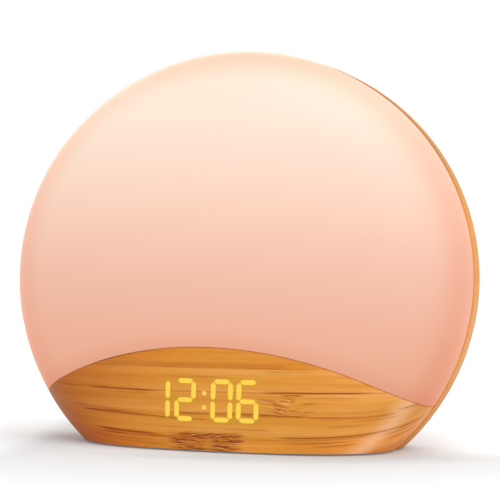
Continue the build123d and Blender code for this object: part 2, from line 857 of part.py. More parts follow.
def make_plunger(x, z):
    return rod(plunger_radius, switch_face - plunger_depth, key_stem_end, x, z)


def make_main_board():
    half = main_board_width / 2
    board = block((-half, half), (board_front, board_back), (-main_board_bottom, -main_board_top))
    for x, z in main_board_posts():
        board -= rod(small_screw_radius + screw_clearance, 0, far, x, z)
    return board


def make_inlet():
    """USB-C socket standing on the main board: metal shell, insulating floor and tongue."""
    mouth = rear_depth - inlet_setback
    shell = inlet_outline(0, board_back, mouth) - inlet_outline(-inlet_wall, board_back - 1, mouth + 1)
    floor_top = mouth - inlet_plug_depth
    core = inlet_outline(-inlet_wall, board_back, floor_top)
    half_width_tongue = inlet_tongue_width / 2
    half_thickness = inlet_tongue_thickness / 2
    core += block((inlet_x - half_width_tongue, inlet_x + half_width_tongue),
                  (floor_top, mouth - inlet_tongue_setback),
                  (-inlet_drop - half_thickness, -inlet_drop + half_thickness))
    return shell, core


def make_battery_holder():
    half = holder_size / 2
    holder = block((-half, half), (board_back, board_back + holder_floor + contact_thickness + holder_rim),
                   (-door_drop - half, -door_drop + half))
    holder -= rod(cell_radius + cell_gap, board_back + holder_floor, rear_depth, 0, -door_drop)
    slot = contact_width / 2 + fit_gap
    holder -= block((-slot, slot), (board_back + holder_floor, rear_depth), (-door_drop, -door_drop + far))
    return holder


def make_battery_contacts():
    """Round lower contact under the cell and a bent strip over its edge."""
    floor = board_back + holder_floor
    lower = rod(lower_contact_radius, floor, floor + contact_thickness, 0, -door_drop)
    cell_front = floor + contact_thickness + cell_thickness
    half = contact_width / 2
    edge = -door_drop + cell_radius + cell_gap
    strip = block((-half, half), (floor, cell_front + contact_thickness), (edge, edge + contact_thickness))
    strip += block((-half, half), (cell_front, cell_front + contact_thickness),
                   (edge - contact_reach, edge + contact_thickness))
    return group([lower, strip])


def make_coin_cell():
    floor = board_back + holder_floor + contact_thickness
    cell = rod(cell_radius, floor, floor + cell_thickness, 0, -door_drop)
    return chamfer(cell.edges(), cell_edge)


def make_battery_door():
    """Flush lid with a rounded lower edge that turns on two stub pins."""
    half = door_size / 2 - door_gap
    top = -door_drop + half
    lid = block((-half, half), (rear_depth - door_thickness, rear_depth), (hinge_z, top))
    lid += Pos(0, hinge_y, hinge_z) * Rot(0, 90, 0) * Cylinder(door_thickness / 2, 2 * half)
    lid += Pos(0, hinge_y, hinge_z) * Rot(0, 90, 0) * Cylinder(
        hinge_pin_radius, door_size + 2 * hinge_pin_length - 2 * hinge_pin_gap)
    lid -= rod(nail_notch_radius, rear_depth - door_thickness / 2, rear_depth + 1, 0, -door_drop + door_size / 2)
    return lid


def screw(radius, head_radius, head_height, length):
    """A pan-head screw along +Z, its head's seat at the origin, its tip above."""
    shank = Pos(0, 0, length / 2) * Cylinder(radius, length)
    shank = chamfer(shank.edges().group_by(Axis.Z)[-1], radius / 2)
    head = Pos(0, 0, -head_height / 2) * Cylinder(head_radius, head_height)
    head = chamfer(head.edges().group_by(Axis.Z)[0], head_height / 3)
    return shank + head


to_front = Rot(90, 0, 0)      # turns +Z to -Y
to_back = Rot(-90, 0, 0)      # turns +Z to +Y


def make_housing_screws():
    long_screw = screw(screw_radius, screw_head_radius, screw_head_height, screw_seat + screw_bite)
    return group(Pos(x, screw_seat, z) * to_front * long_screw for x, z in housing_screws)


def make_base_screws():
    seat = base_bottom + base_head_sink
    length = base_top - seat + screw_bite - screw_hole_depth
    base_screw = screw(screw_radius, screw_head_radius, base_head_sink, length)
    return group(Pos(x, y, seat) * base_screw for x, y in front_base_screws() + rear_base_screws())


def make_board_screws():
    """Short screws of the key boards, the main board, the light board and the display board."""
    short = screw(small_screw_radius, small_head_radius, small_head_height, board_thickness + small_bite)
    led_short = screw(small_screw_radius, small_head_radius, small_head_height,
                      board_thickness + chassis_wall + small_bite - 2)
    display_short = screw(small_screw_radius, small_head_radius, small_head_height,
                          display_board_thickness + small_bite - 1)
    screws = [Pos(x, board_front, z) * to_back * short for x, z in key_board_posts() + main_board_posts()]
    screws += [Pos(x, chassis_front - board_thickness, z) * to_back * led_short for x, z in led_board_screws()]
    screws += [display_place * Pos(x, y, display_board_back) * display_short for x, y in display_posts()]
    return group(screws)


def make_chassis_screws():
    short = screw(small_screw_radius, small_head_radius, small_head_height, chassis_wall + small_bite)
    return group(Pos(side * post_x, chassis_front, z) * to_back * short
                 for z in post_heights for side in (-1, 1))


def make_speaker_screws():
    """Screws whose wide heads clamp the speaker's flange to its posts."""
    short = screw(small_screw_radius, clamp_head_radius, small_head_height,
                  speaker_flange + speaker_gasket_thickness + wall / 4)
    return group(Pos(x, flange_front, z) * to_back * short for x, z in speaker_posts())


def smooth_path(points):
    """Straight runs joined by tangent arcs as large as the runs allow."""
    corners = [Vector(*point) for point in points]
    radii = []
    for before, here, after in zip(corners, corners[1:], corners[2:]):
        turn = radians((here - before).get_angle(after - here))
        shorter = min((here - before).length, (after - here).length)
        radii.append(0.45 * shorter / tan(turn / 2))
    return FilletPolyline(*points, radius=radii)


def wire(points):
    path = smooth_path(points)
    start = Plane(origin=path @ 0, z_dir=path % 0)
    return sweep(start * Circle(wire_radius), path=path)


def ribbon(points, width):
    """Flat cable, its width across X."""
    path = smooth_path(points)
    start = Plane(origin=path @ 0, x_dir=(1, 0, 0), z_dir=path % 0)
    return sweep(start * Rectangle(width, ribbon_thickness), path=path)


def header(x, z):
    half = header_length / 2
    body = block((x - half, x + half), (board_front - header_height, board_front),
                 (z - header_width / 2, z + header_width / 2))
    return body


def make_headers():
    """Plug headers on the main board, the light board and the back of the display board."""
    x, z = led_header_place()
    half = header_length / 2
    led_header = block((x - half, x + half), (chassis_front, chassis_front + header_height),
                       (z - header_width / 2, z + header_width / 2))
    display_header = display_place * Pos(0, 0, display_board_back - header_width / 2) * Box(
        ribbon_width + 2, header_height, header_width)
    ribbon_header = block((-ribbon_width / 2 - 1, ribbon_width / 2 + 1), (board_front - header_width, board_front),
                          (ribbon_z - header_height / 2, ribbon_z + header_height / 2))
    return group([header(speaker_header_x, header_z), header(led_header_x, header_z), led_header,
                  display_header, ribbon_header])


def make_capacitors():
    """Upright can capacitors on the front of the main board."""
    large_x = main_board_width / 2 - can_inset
    cans = [can(large_x, large_can_radius, large_can_height)]
    for x in (large_x - can_spacing, -large_x):
        cans.append(can(x, small_can_radius, small_can_height))
    return group(cans)


def can(x, radius, height):
    body = rod(radius, board_front - height, board_front, x, -main_board_bottom + can_rise)
    return chamfer(body.edges().group_by(Axis.Y)[0], radius / 8)


def make_board_chips():
    """Control chip, sound memory and regulator, in a row above the cans."""
    end = main_board_width / 2
    return group([
        chip(0, control_chip_width, control_chip_height),
        chip(memory_inset - end, memory_chip_width, memory_chip_height),
        chip(end - regulator_inset, regulator_size, regulator_size),
    ])


def chip(x, width, height):
    low = -main_board_bottom + can_rise + large_can_radius + chip_clearance
    return block((x - width / 2, x + width / 2), (board_front - chip_thickness, board_front), (low, low + height))


def make_leads():
    """Wires between the boards and the speaker, and the flat cable of the display."""
    leads = {}
    header_front = board_front - header_height
    led_x, led_z = led_header_place()
    led_back = chassis_front + header_height
    speaker_back = flange_front - basket_depth
    speaker_x = basket_rear_radius + basket_wall + lead_run / 2
    speaker_low = speaker_rise - speaker_radius
    led_wires = []
    speaker_wires = []
    for side in (-1, 1):
        shift = side * wire_spacing / 2
        led_wires.append(wire([
            (led_x + shift, led_back, led_z),
            (led_x + shift, led_back + lead_run, led_z),
            (led_header_x + shift, header_front - lead_run, header_z),
            (led_header_x + shift, header_front, header_z),
        ]))
        speaker_wires.append(wire([
            (speaker_x + shift, speaker_back - 1, speaker_low + 3),
            (speaker_x + shift, speaker_back - 2, speaker_low - lead_run),
            (speaker_header_x + shift, header_front - lead_run, header_z),
            (speaker_header_x + shift, header_front, header_z),
        ]))
    leads["led_leads"] = group(led_wires)
    leads["speaker_leads"] = group(speaker_wires)
    tail = (display_place * Pos(0, 0, display_board_back - header_width)).position
    leads["display_ribbon"] = ribbon([
        tuple(tail),
        (0, tail.Y + 2 * lead_run, tail.Z - 1),
        (0, tail.Y + 4 * lead_run, ribbon_z - 3),
        (0, board_front - header_width - 2 * lead_run, ribbon_z - 1),
        (0, board_front - header_width, ribbon_z),
    ], ribbon_width)
    return leads


save("light_diffuser", make_diffuser())
save("front_fascia", make_fascia())
save("rear_shell", make_rear_shell())
save("base_plate", make_base_plate())
save("rubber_feet", make_feet())
save("light_chassis", make_chassis())
save("led_board", make_led_board())
save("led_chips", make_led_chips())
save("display_housing", make_display_housing())
save("digit_segments", make_digit_segments())
save("display_gasket", make_display_gasket())
save("display_board", make_display_board())
for name, piece in make_speaker().items():
    save(name, piece)
for name, x, z in key_places():
    save(f"{name}_button", make_key(x, z))
    save(f"{name}_plunger", make_plunger(x, z))
save("right_key_board", make_key_board(1))
save("left_key_board", make_key_board(-1))
save("switch_bodies", make_switch_bodies())
save("main_board", make_main_board())
inlet_shell, inlet_core = make_inlet()
save("power_inlet_shell", inlet_shell)
save("power_inlet_core", inlet_core)
save("battery_holder", make_battery_holder())
save("battery_contacts", make_battery_contacts())
save("coin_cell", make_coin_cell())
save("battery_door", make_battery_door())
save("capacitors", make_capacitors())
save("board_chips", make_board_chips())
save("board_headers", make_headers())
save("housing_screws", make_housing_screws())
save("base_screws", make_base_screws())
save("board_screws", make_board_screws())
save("chassis_screws", make_chassis_screws())
save("speaker_screws", make_speaker_screws())
for name, piece in make_leads().items():
    save(name, piece)
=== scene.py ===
import json
import math

import bmesh
import bpy
import numpy as np
from mathutils import Matrix, Vector


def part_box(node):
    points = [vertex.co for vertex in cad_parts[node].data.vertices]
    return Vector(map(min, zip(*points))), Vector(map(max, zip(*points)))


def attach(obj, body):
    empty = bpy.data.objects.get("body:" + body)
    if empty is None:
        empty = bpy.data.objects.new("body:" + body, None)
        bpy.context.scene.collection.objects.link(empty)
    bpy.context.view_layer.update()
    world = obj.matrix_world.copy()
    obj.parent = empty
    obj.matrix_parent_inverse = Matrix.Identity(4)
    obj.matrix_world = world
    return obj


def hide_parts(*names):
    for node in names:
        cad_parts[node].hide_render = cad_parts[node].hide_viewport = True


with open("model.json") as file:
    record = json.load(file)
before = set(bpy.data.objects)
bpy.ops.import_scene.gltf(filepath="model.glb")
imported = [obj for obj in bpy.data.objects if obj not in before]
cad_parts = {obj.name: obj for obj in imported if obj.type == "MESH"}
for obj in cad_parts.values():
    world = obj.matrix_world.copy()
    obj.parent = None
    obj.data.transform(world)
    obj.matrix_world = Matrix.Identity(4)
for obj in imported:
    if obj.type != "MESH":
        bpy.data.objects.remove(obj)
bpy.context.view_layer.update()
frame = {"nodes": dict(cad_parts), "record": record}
print("frame loaded:", len(frame["nodes"]), "nodes")

# The housing's form in metres, about the centre of its rim
housing = {
    "halfWidth": 0.0925,  # dome at its rim
    "oval": 0.970,  # height over width
    "band": 0.0047,  # straight band in front of the rim
    "shoulder": 0.0343,  # radius of the rounding between the band and the crown
    "crown": 0.2444,  # radius of the dome's shallow middle
    "baseDrop": 0.0655,  # rim centre down to the underside
    "wall": 0.0026,
    "seamPeak": 0.0266,  # rim centre down to the joint line's middle
    "seamEnd": 0.0481,  # and to its two ends
    "seamGap": 0.0002,
    "edgeRound": 0.00025,  # moulded edges along the joint lines
    "rearDepth": 0.030,  # rear shell behind the rim
    "rearPanel": 0.0692,  # edge of its flat panel
    "rearShoulder": 0.024,  # and radius of its rounding
}
oval, halfWidth, band, shoulder, crown = (
    housing[size] for size in ("oval", "halfWidth", "band", "shoulder", "crown"))
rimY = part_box("front_fascia")[1].y
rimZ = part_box("front_fascia")[0].z + housing["baseDrop"]
rimPlace = (0, rimY, rimZ)

shoulderMiddle = halfWidth - shoulder
crownReach = crown - shoulder
crownMiddle = math.sqrt(crownReach ** 2 - shoulderMiddle ** 2) - band
crownAngle = math.atan2(shoulderMiddle, crownMiddle + band)
# along the skin from the apex to the end of the crown, of the shoulder and of the band
crownRun = crown * crownAngle
shoulderRun = crownRun + shoulder * (math.pi / 2 - crownAngle)
rimRun = shoulderRun + band


def reachAt(drop):
    # half the housing's width at a height below the rim centre
    return halfWidth * math.sqrt(1 - (drop / oval / halfWidth) ** 2)


# the joint line is part of a circle in the front view
seamReach = reachAt(housing["seamEnd"])
seamSag = housing["seamEnd"] - housing["seamPeak"]
seamRadius = (seamReach ** 2 + seamSag ** 2) / (2 * seamSag)
seamMiddle = -housing["seamPeak"] - seamRadius


# The dome's skin is laid out flat, across and up from the apex
def onSkin(flat, sink=0.0):
    # points in space
    run = np.hypot(flat[..., 0], flat[..., 1])
    angle = np.arctan2(flat[..., 1], flat[..., 0])
    inCrown = run < crownRun
    crownTurn = run / crown
    shoulderTurn = crownAngle + (run - crownRun) / shoulder
    turn = np.where(inCrown, crownTurn, np.minimum(shoulderTurn, math.pi / 2))
    outer, inner = crown - sink, shoulder - sink
    radius = np.where(inCrown, outer * np.sin(turn), shoulderMiddle + inner * np.sin(turn))
    depth = np.where(inCrown, crownMiddle - outer * np.cos(turn), -band - inner * np.cos(turn))
    depth = depth + np.maximum(run - shoulderRun, 0)
    return np.stack([radius * np.cos(angle), depth + rimY, oval * radius * np.sin(angle) + rimZ], axis=-1)


def layFlat(x, z):
    # the flat layout's places for points in the front view, about the rim centre
    radius = np.minimum(np.hypot(x, z / oval), halfWidth)
    angle = np.arctan2(z / oval, x)
    crownEnd = crown * math.sin(crownAngle)
    lean = np.clip((radius - shoulderMiddle) / shoulder, -1, 1)
    run = np.where(
        radius < crownEnd,
        crown * np.arcsin(np.minimum(radius, crownEnd) / crown),
        crownRun + shoulder * (np.arcsin(lean) - crownAngle))
    return np.stack([run * np.cos(angle), run * np.sin(angle)], axis=-1)


def evenly(line, count):
    # the same line with evenly spaced points
    steps = np.hypot(*np.diff(line, axis=0).T)
    travelled = np.concatenate([[0], np.cumsum(steps)])
    wanted = np.linspace(0, travelled[-1], count)
    return np.stack([np.interp(wanted, travelled, line[:, axis]) for axis in (0, 1)], axis=-1)


def acrossDome(height, reach, count, steps=600):
    # a line over the dome from rim to rim, left to right, at a height that depends on x
    swing = np.linspace(-math.pi / 2, math.pi / 2, steps)
    x = reach * np.sin(swing)
    line = layFlat(x, height(x))
    ends = [line[end] / np.hypot(*line[end]) * rimRun for end in (0, -1)]
    return evenly(np.vstack([ends[0], line, ends[1]]), count)


def seamLine(shift, count):
    radius = seamRadius + shift
    reach = seamReach * (1 - shift / housing["seamEnd"])
    return acrossDome(lambda x: seamMiddle + np.sqrt(radius ** 2 - x ** 2), reach, count)


def rimArc(start, end, count, overTop=False):
    # along the rim between two points of the flat layout
    first, last = (math.atan2(point[1], point[0]) for point in (start, end))
    turn = np.linspace(first, last + (2 * math.pi if overTop else 0), count)
    return rimRun * np.stack([np.cos(turn), np.sin(turn)], axis=-1)


def addObject(name, data):
    made = bpy.data.objects.new(name, data)
    bpy.context.scene.collection.objects.link(made)
    return made


def newPiece(name, points, faces):
    mesh = bpy.data.meshes.new(name)
    mesh.from_pydata(np.asarray(points).tolist(), [], faces)
    mesh.update()
    return addObject(name, mesh)


def settle(piece, smoothAngle=35):
    # modifiers become plain mesh, smooth up to the angle
    graph = bpy.context.evaluated_depsgraph_get()
    mesh = bpy.data.meshes.new_from_object(piece.evaluated_get(graph))
    piece.modifiers.clear()
    old = piece.data
    piece.data = mesh
    bpy.data.meshes.remove(old)
    mesh.name = piece.name
    mesh.shade_smooth()
    mesh.set_sharp_from_angle(angle=math.radians(smoothAngle))
    return piece


def bevelEdges(piece, width, segments, angle):
    bevel = piece.modifiers.new("edges", "BEVEL")
    bevel.width = width
    bevel.segments = segments
    bevel.limit_method = "ANGLE"
    bevel.angle_limit = math.radians(angle)
    return bevel


def shellFrom(piece):
    # gives a skin the housing's wall and rounded edges
    solid = piece.modifiers.new("wall", "SOLIDIFY")
    solid.thickness = housing["wall"]
    solid.offset = -1
    bevelEdges(piece, housing["edgeRound"], 3, 50).use_clamp_overlap = False
    return settle(piece)


def plates(name, outlines, lifts, place):
    # closed plates; place gives an outline's points at a lift, the upper one first
    points, faces = [], []
    for outline in outlines:
        count, base = len(outline), len(points)
        for lift in lifts:
            points.extend(place(np.asarray(outline), lift))
        faces.append(tuple(range(base, base + count)))
        faces.append(tuple(range(base + 2 * count - 1, base + count - 1, -1)))
        for step in range(count):
            after = (step + 1) % count
            faces.append((base + after, base + step, base + count + step, base + count + after))
    return newPiece(name, points, faces)


def ride(piece, body):
    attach(piece, body)


def makeDomeLens():
    sizes = {"rays": 336, "rings": 46, "centre": (0, 0.010)}
    seam = seamLine(housing["seamGap"] / 2, sizes["rays"] // 3)
    over = rimArc(seam[-1], seam[0], sizes["rays"] - len(seam) + 2, overTop=True)
    edge = np.vstack([seam, over[1:-1]])
    centre = np.array(sizes["centre"])
    reach = np.linspace(0, 1, sizes["rings"] + 1)[1:, None, None]
    rings = centre + (edge - centre)[None] * reach
    points = np.vstack([onSkin(centre)[None], onSkin(rings).reshape(-1, 3)])
    rays = len(edge)
    faces = []
    for ray in range(rays):
        after = (ray + 1) % rays
        faces.append((0, 1 + ray, 1 + after))  # round the centre
        for ring in range(sizes["rings"] - 1):
            low, high = 1 + ring * rays, 1 + (ring + 1) * rays
            faces.append((low + ray, high + ray, high + after, low + after))
    lens = newPiece("domeLens", points, faces)
    shellFrom(lens)
    ride(lens, "housing")
    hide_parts("light_diffuser")
    return lens


# The display's lit digits
display = {
    "drop": 0.0463,  # rim centre down to the digits' middle
    "shift": -0.0004,  # of the figures to the side
    "firstShift": -0.0005,  # and of the first one besides
    "digits": "12:06",  # the figures in segmentsLit can be shown
    "height": 0.0164,
    "width": 0.0085,
    "pitch": 0.0099,
    "colonGap": 0.0144,
    "bar": 0.00182,  # width of a segment
    "gap": 0.0003,
    "slant": 5.0,
    "barRound": 0.22,  # of a segment's corners, in widths of a segment
    "dot": 0.0017,
    "dotSpread": 0.0054,
    "dotRound": 0.7,  # of a dot's corners, in half dots
    "proud": 0.00006,
    "sunk": 0.0004,
    "edgeRound": 0.00003,
    "haloReach": 0.0005,
    "haloFall": 1.3,  # how steeply the halo ends
}
segmentsLit = {"0": "abcdef", "1": "bc", "2": "abged", "6": "acdefg"}
displayRise = math.sqrt(crown ** 2 - (display["drop"] / oval) ** 2)
displayTilt = math.atan2(display["drop"] / oval ** 2 / displayRise, 1)
displayLean = math.tan(math.radians(display["slant"]))


def segmentLines():
    # middle lines of the lit segments, in the display's plane
    wide = (display["width"] - display["bar"]) / 2
    high = (display["height"] - display["bar"]) / 2
    ends = {
        "a": ((-wide, high), (wide, high)), "g": ((-wide, 0), (wide, 0)),
        "d": ((-wide, -high), (wide, -high)), "b": ((wide, high), (wide, 0)),
        "c": ((wide, 0), (wide, -high)),
        "f": ((-wide, high), (-wide, 0)), "e": ((-wide, 0), (-wide, -high)),
    }
    figures = display["digits"].replace(":", "")
    steps = ((-1, 1), (-1, 0), (1, 0), (1, 1))  # side of the colon and figures in between
    places = [side * (display["colonGap"] / 2 + step * display["pitch"]) for side, step in steps]
    places[0] += display["firstShift"]
    lines = []
    for figure, place in zip(figures, places):
        for letter in segmentsLit[figure]:
            lines.append([(x + place + display["shift"] + displayLean * y, y) for x, y in ends[letter]])
    return np.array(lines)


def onDisplay(flat, lift):
    # points on the fascia's face for places in the display's plane
    x = flat[..., 0]
    z = flat[..., 1] * math.cos(displayTilt) - display["drop"]
    return onSkin(layFlat(x, z), -lift)


def roundedOutline(corners, rounding, steps=3):
    # a closed outline with every corner cut by a short curve
    outline = []
    for before, corner, after in zip(np.roll(corners, 1, 0), corners, np.roll(corners, -1, 0)):
        start = corner + (before - corner) / np.hypot(*(before - corner)) * rounding
        end = corner + (after - corner) / np.hypot(*(after - corner)) * rounding
        for t in np.linspace(0, 1, steps):
            outline.append((1 - t) ** 2 * start + 2 * t * (1 - t) * corner + t * t * end)
    return np.array(outline)


def litPlates(name, outlines):
    # plates that shine through the fascia
    piece = plates(name, outlines, (display["proud"], -display["sunk"]), onDisplay)
    bevelEdges(piece, display["edgeRound"], 1, 60)
    settle(piece)
    ride(piece, "housing")
    return piece


def makeDigits():
    outlines = []
    half = display["bar"] / 2
    tip = display["gap"] / 2 * math.sqrt(2)
    for start, end in segmentLines():
        along = (end - start) / np.hypot(*(end - start))
        side = np.array([-along[1], along[0]]) * half
        first, last = start + along * tip, end - along * tip
        corners = np.array([
            first, first + along * half - side, last - along * half - side,
            last, last - along * half + side, first + along * half + side])
        outlines.append(roundedOutline(corners, display["bar"] * display["barRound"]))
    digits = litPlates("litSegments", outlines)
    size = display["dot"] / 2
    square = np.array([(-size, -size), (size, -size), (size, size), (-size, size)])
    heights = (-display["dotSpread"] / 2, display["dotSpread"] / 2)
    dots = [roundedOutline(square + (displayLean * y, y), size * display["dotRound"]) for y in heights]
    return digits, litPlates("litColon", dots)


def haloAt(points):
    # 1 on the lit segments, fading with distance from them
    height = (points[:, 2] - rimZ + display["drop"]) / math.cos(displayTilt)
    flat = np.stack([points[:, 0], height], axis=-1)
    nearest = np.full(len(flat), 1.0)
    for start, end in segmentLines():
        line = end - start
        along = np.clip(((flat - start) @ line) / (line @ line), 0, 1)
        nearest = np.minimum(nearest, np.hypot(*(flat - start - along[:, None] * line).T))
    beyond = np.maximum(nearest - display["bar"] / 2, 0)
    return np.exp(-(beyond / display["haloReach"]) ** display["haloFall"])


def makeFascia():
    sizes = {"columns": 301, "rows": 73}
    columns, rows = sizes["columns"], sizes["rows"]
    top = seamLine(-housing["seamGap"] / 2, columns)
    bottom = acrossDome(lambda x: 0 * x - housing["baseDrop"], reachAt(housing["baseDrop"]), columns)
    left = rimArc(bottom[0], top[0], rows)[:, None]
    right = rimArc(bottom[-1], top[-1], rows)[:, None]
    u = np.linspace(0, 1, columns)[None, :, None]
    v = np.linspace(0, 1, rows)[:, None, None]
    corners = (
        (1 - u) * (1 - v) * bottom[0] + u * (1 - v) * bottom[-1] + (1 - u) * v * top[0] + u * v * top[-1])
    flat = (1 - v) * bottom[None] + v * top[None] + (1 - u) * left + u * right - corners
    points = onSkin(flat).reshape(-1, 3)
    starts = [row * columns + step for row in range(rows - 1) for step in range(columns - 1)]
    faces = [(start, start + 1, start + columns + 1, start + columns) for start in starts]
    fascia = newPiece("fasciaSkin", points, faces)
    # the top row, along the joint line, marks where the painted shade goes
    topRow = np.repeat(np.arange(rows) == rows - 1, columns).astype(float)
    for label, values in (("halo", haloAt(points)), ("edge", topRow)):
        fascia.data.attributes.new(label, "FLOAT", "POINT").data.foreach_set("value", values)
    shellFrom(fascia)
    ride(fascia, "housing")
    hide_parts("front_fascia")
    return fascia


def growNode(tree, kind, settings=None, links=None):
    # one node; links give a socket's value, the output that feeds it, or a node for its first output
    node = tree.nodes.new(kind)
    for key, value in (settings or {}).items():
        setattr(node, key, value)
    for key, value in (links or {}).items():
        socket = node.inputs[key]
        if isinstance(value, bpy.types.Node):
            value = value.outputs[0]
        if isinstance(value, bpy.types.NodeSocket):
            tree.links.new(value, socket)
        elif socket.type == "RGBA" and len(value) == 3:
            socket.default_value = (*value, 1)
        else:
            socket.default_value = value
    return node


def barTree(name, inRing):
    # equal bars, round a centre and pointing away from it or in a row, stood upright at a place
    tree = bpy.data.node_groups.new(name, "GeometryNodeTree")
    tree.is_modifier = True
    tree.interface.new_socket("Geometry", in_out="OUTPUT", socket_type="NodeSocketGeometry")
    inputs = {"Count": "Int", "Size": "Vector", "Place": "Vector", "Material": "Material"}
    inputs.update({"Reach": "Float"} if inRing else {"Step": "Vector"})
    for label, kind in inputs.items():
        tree.interface.new_socket(label, in_out="INPUT", socket_type="NodeSocket" + kind)
    given = tree.nodes.new("NodeGroupInput").outputs
    turn = (0, 0, 0)
    if inRing:
        points = growNode(tree, "GeometryNodeMeshCircle", links={
            "Vertices": given["Count"], "Radius": given["Reach"]})
        spot = tree.nodes.new("GeometryNodeInputPosition")
        turn = growNode(tree, "FunctionNodeAlignRotationToVector", {"axis": "X"}, {"Vector": spot})
    else:
        points = growNode(tree, "GeometryNodeMeshLine", links={
            "Count": given["Count"], "Offset": given["Step"]})
    bar = growNode(tree, "GeometryNodeMeshCube", links={"Size": given["Size"]})
    bars = growNode(tree, "GeometryNodeInstanceOnPoints", links={
        "Points": points, "Instance": bar, "Rotation": turn})
    upright = growNode(tree, "GeometryNodeTransform", links={
        "Geometry": bars, "Translation": given["Place"], "Rotation": (math.pi / 2, 0, 0)})
    real = growNode(tree, "GeometryNodeRealizeInstances", links={"Geometry": upright})
    dressed = growNode(tree, "GeometryNodeSetMaterial", links={
        "Geometry": real, "Material": given["Material"]})
    growNode(tree, "NodeGroupOutput", links={0: dressed})
    return tree


def grow(name, tree, values):
    # a plain mesh from a tree, with its inputs set by name
    piece = newPiece(name, [(0, 0, 0)], [])
    maker = piece.modifiers.new("maker", "NODES")
    maker.node_group = tree
    for item in tree.interface.items_tree:
        if item.in_out == "INPUT":
            maker[item.identifier] = values[item.name]
    return settle(piece)


keys = {
    "dish": 0.00035,  # depth of the hollow in a key's face
    "dishRadius": 0.0278,
    "proud": 0.00005,
    "sunk": 0.00020,
    "weld": 1e-7,  # corners closer than this become one
    # bars round a centre: how many, and in millimetres their middles' distance, length and width
    "bars": {
        "light": (8, 1.85, 0.80, 0.32),
        "clock": (4, 1.45, 0.45, 0.25),
    },
}


def arcPoints(radius, start, end, count, middle=(0, 0)):
    turn = np.radians(np.linspace(start, end, count))
    return np.stack([middle[0] + radius * np.cos(turn), middle[1] + radius * np.sin(turn)], axis=-1)


def ringOutlines(outer, inner, count=32):
    far, near = arcPoints(outer, 0, 360, count + 1), arcPoints(inner, 0, 360, count + 1)
    return [np.array([far[step], far[step + 1], near[step + 1], near[step]]) for step in range(count)]


def signOutlines(key):
    # the closed shapes of a key's sign, millimetres from the key's middle as seen from behind the clock
    if key == "light":
        return [arcPoints(0.95, 0, 345, 24)]
    if key == "snooze":
        return [np.vstack([arcPoints(1.9, 46, 314, 25), arcPoints(1.5, 294, 66, 21, (0.70, 0))])]
    if key == "plus":
        arm = [(0.28, 0.28), (0.28, 1.9), (-0.28, 1.9)]
        turns = ((1, 0), (0, 1), (-1, 0), (0, -1))
        return [np.array([(x * c - y * s, x * s + y * c) for c, s in turns for x, y in arm])]
    if key == "minus":
        return [np.array([(-1.9, -0.28), (1.9, -0.28), (1.9, 0.28), (-1.9, 0.28)])]
    if key == "sound":
        head = arcPoints(0.70, 0, 340, 18, (-0.65, -1.30)) * (1.15, 1.0)
        flag = [
            (-0.22, -1.3), (0.15, -1.3), (0.15, 0.95), (1.25, 0.35), (1.35, 0.95), (0.15, 1.9), (-0.22, 1.9)]
        return [head, np.array(flag)]
    if key == "clock":
        hands = [(-0.16, -0.16), (0.95, -0.16), (0.95, 0.16), (0.16, 0.16), (0.16, 1.25), (-0.16, 1.25)]
        return ringOutlines(2.15, 1.80) + [np.array(hands)]
    # the two alarms: a bell over one dot or over two
    foot = [(-1.25, -0.65), (-1.75, -1.05), (1.75, -1.05), (1.25, -0.65)]
    bell = np.vstack([arcPoints(1.15, 0, 180, 15, (0, 0.55)), foot])
    dots = [0.0] if key == "alarm_one" else [-0.55, 0.55]
    return [bell] + [arcPoints(0.32, 0, 330, 12, (x, -1.65)) for x in dots]


def keyPlace(key):
    low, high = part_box(key + "_button")
    return (low.x + high.x) / 2, high.y, (low.z + high.z) / 2


def hollowAt(square):
    # height of a key's hollow face against its edge, from the distance to its middle, squared
    return square / (2 * keys["dishRadius"]) - keys["dish"]


def signPlate(name, key):
    # thin raised shapes that follow the hollow of the key's face
    centreX, face, centreZ = keyPlace(key)

    def onKey(outline, lift):
        flat = outline * 0.001
        depth = hollowAt((flat ** 2).sum(axis=1))
        return zip(centreX - flat[:, 0], face + depth + lift, centreZ + flat[:, 1])

    piece = plates(name, signOutlines(key), (keys["proud"], -keys["sunk"]), onKey)
    shape = bmesh.new()
    shape.from_mesh(piece.data)
    bmesh.ops.remove_doubles(shape, verts=shape.verts, dist=keys["weld"])
    # walls between joined shapes have more than two faces at each of their edges
    walls = [side for side in shape.faces if all(len(edge.link_faces) > 2 for edge in side.edges)]
    bmesh.ops.delete(shape, geom=walls, context="FACES_ONLY")
    bmesh.ops.recalc_face_normals(shape, faces=shape.faces)
    shape.to_mesh(piece.data)
    shape.free()
    return settle(piece)


def makeSigns(ink):
    tree = barTree("barsRound", True)
    made = []
    for key in ("light", "snooze", "sound", "plus", "minus", "clock", "alarm_two", "alarm_one"):
        centreX, face, centreZ = keyPlace(key)
        label = key[0] + key.title().replace("_", "")[1:]
        plate = signPlate(label + "Sign", key)
        plate.data.materials.append(ink)
        made.append((plate, key))
        if key in keys["bars"]:
            count, reach, length, width = keys["bars"][key]
            thick = keys["proud"] + keys["sunk"]
            hollow = hollowAt(((reach + length / 2) * 0.001) ** 2)
            bars = grow(label + "Bars", tree, {
                "Count": count, "Reach": reach * 0.001, "Size": (length * 0.001, width * 0.001, thick),
                "Place": (centreX, face + hollow + keys["proud"] - thick / 2, centreZ), "Material": ink})
            made.append((bars, key))
    for piece, key in made:
        ride(piece, key + "_key")


ribs = {
    "count": 5,
    "pitch": 0.0012,
    "size": (0.010, 0.0006, 0.0008),
    "drop": 0.0060,  # first rib below the door's upper edge
}


def makeDoorRibs(finish):
    low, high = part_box("battery_door")
    place = ((low.x + high.x) / 2, high.y, high.z - ribs["drop"])
    row = grow("doorRibs", barTree("ribRow", False), {
        "Count": ribs["count"], "Step": (0, -ribs["pitch"], 0), "Size": ribs["size"],
        "Place": place, "Material": finish})
    ride(row, "battery_door")


domeLens = makeDomeLens()
fasciaSkin = makeFascia()
litSegments, litColon = makeDigits()
print("main pieces made")


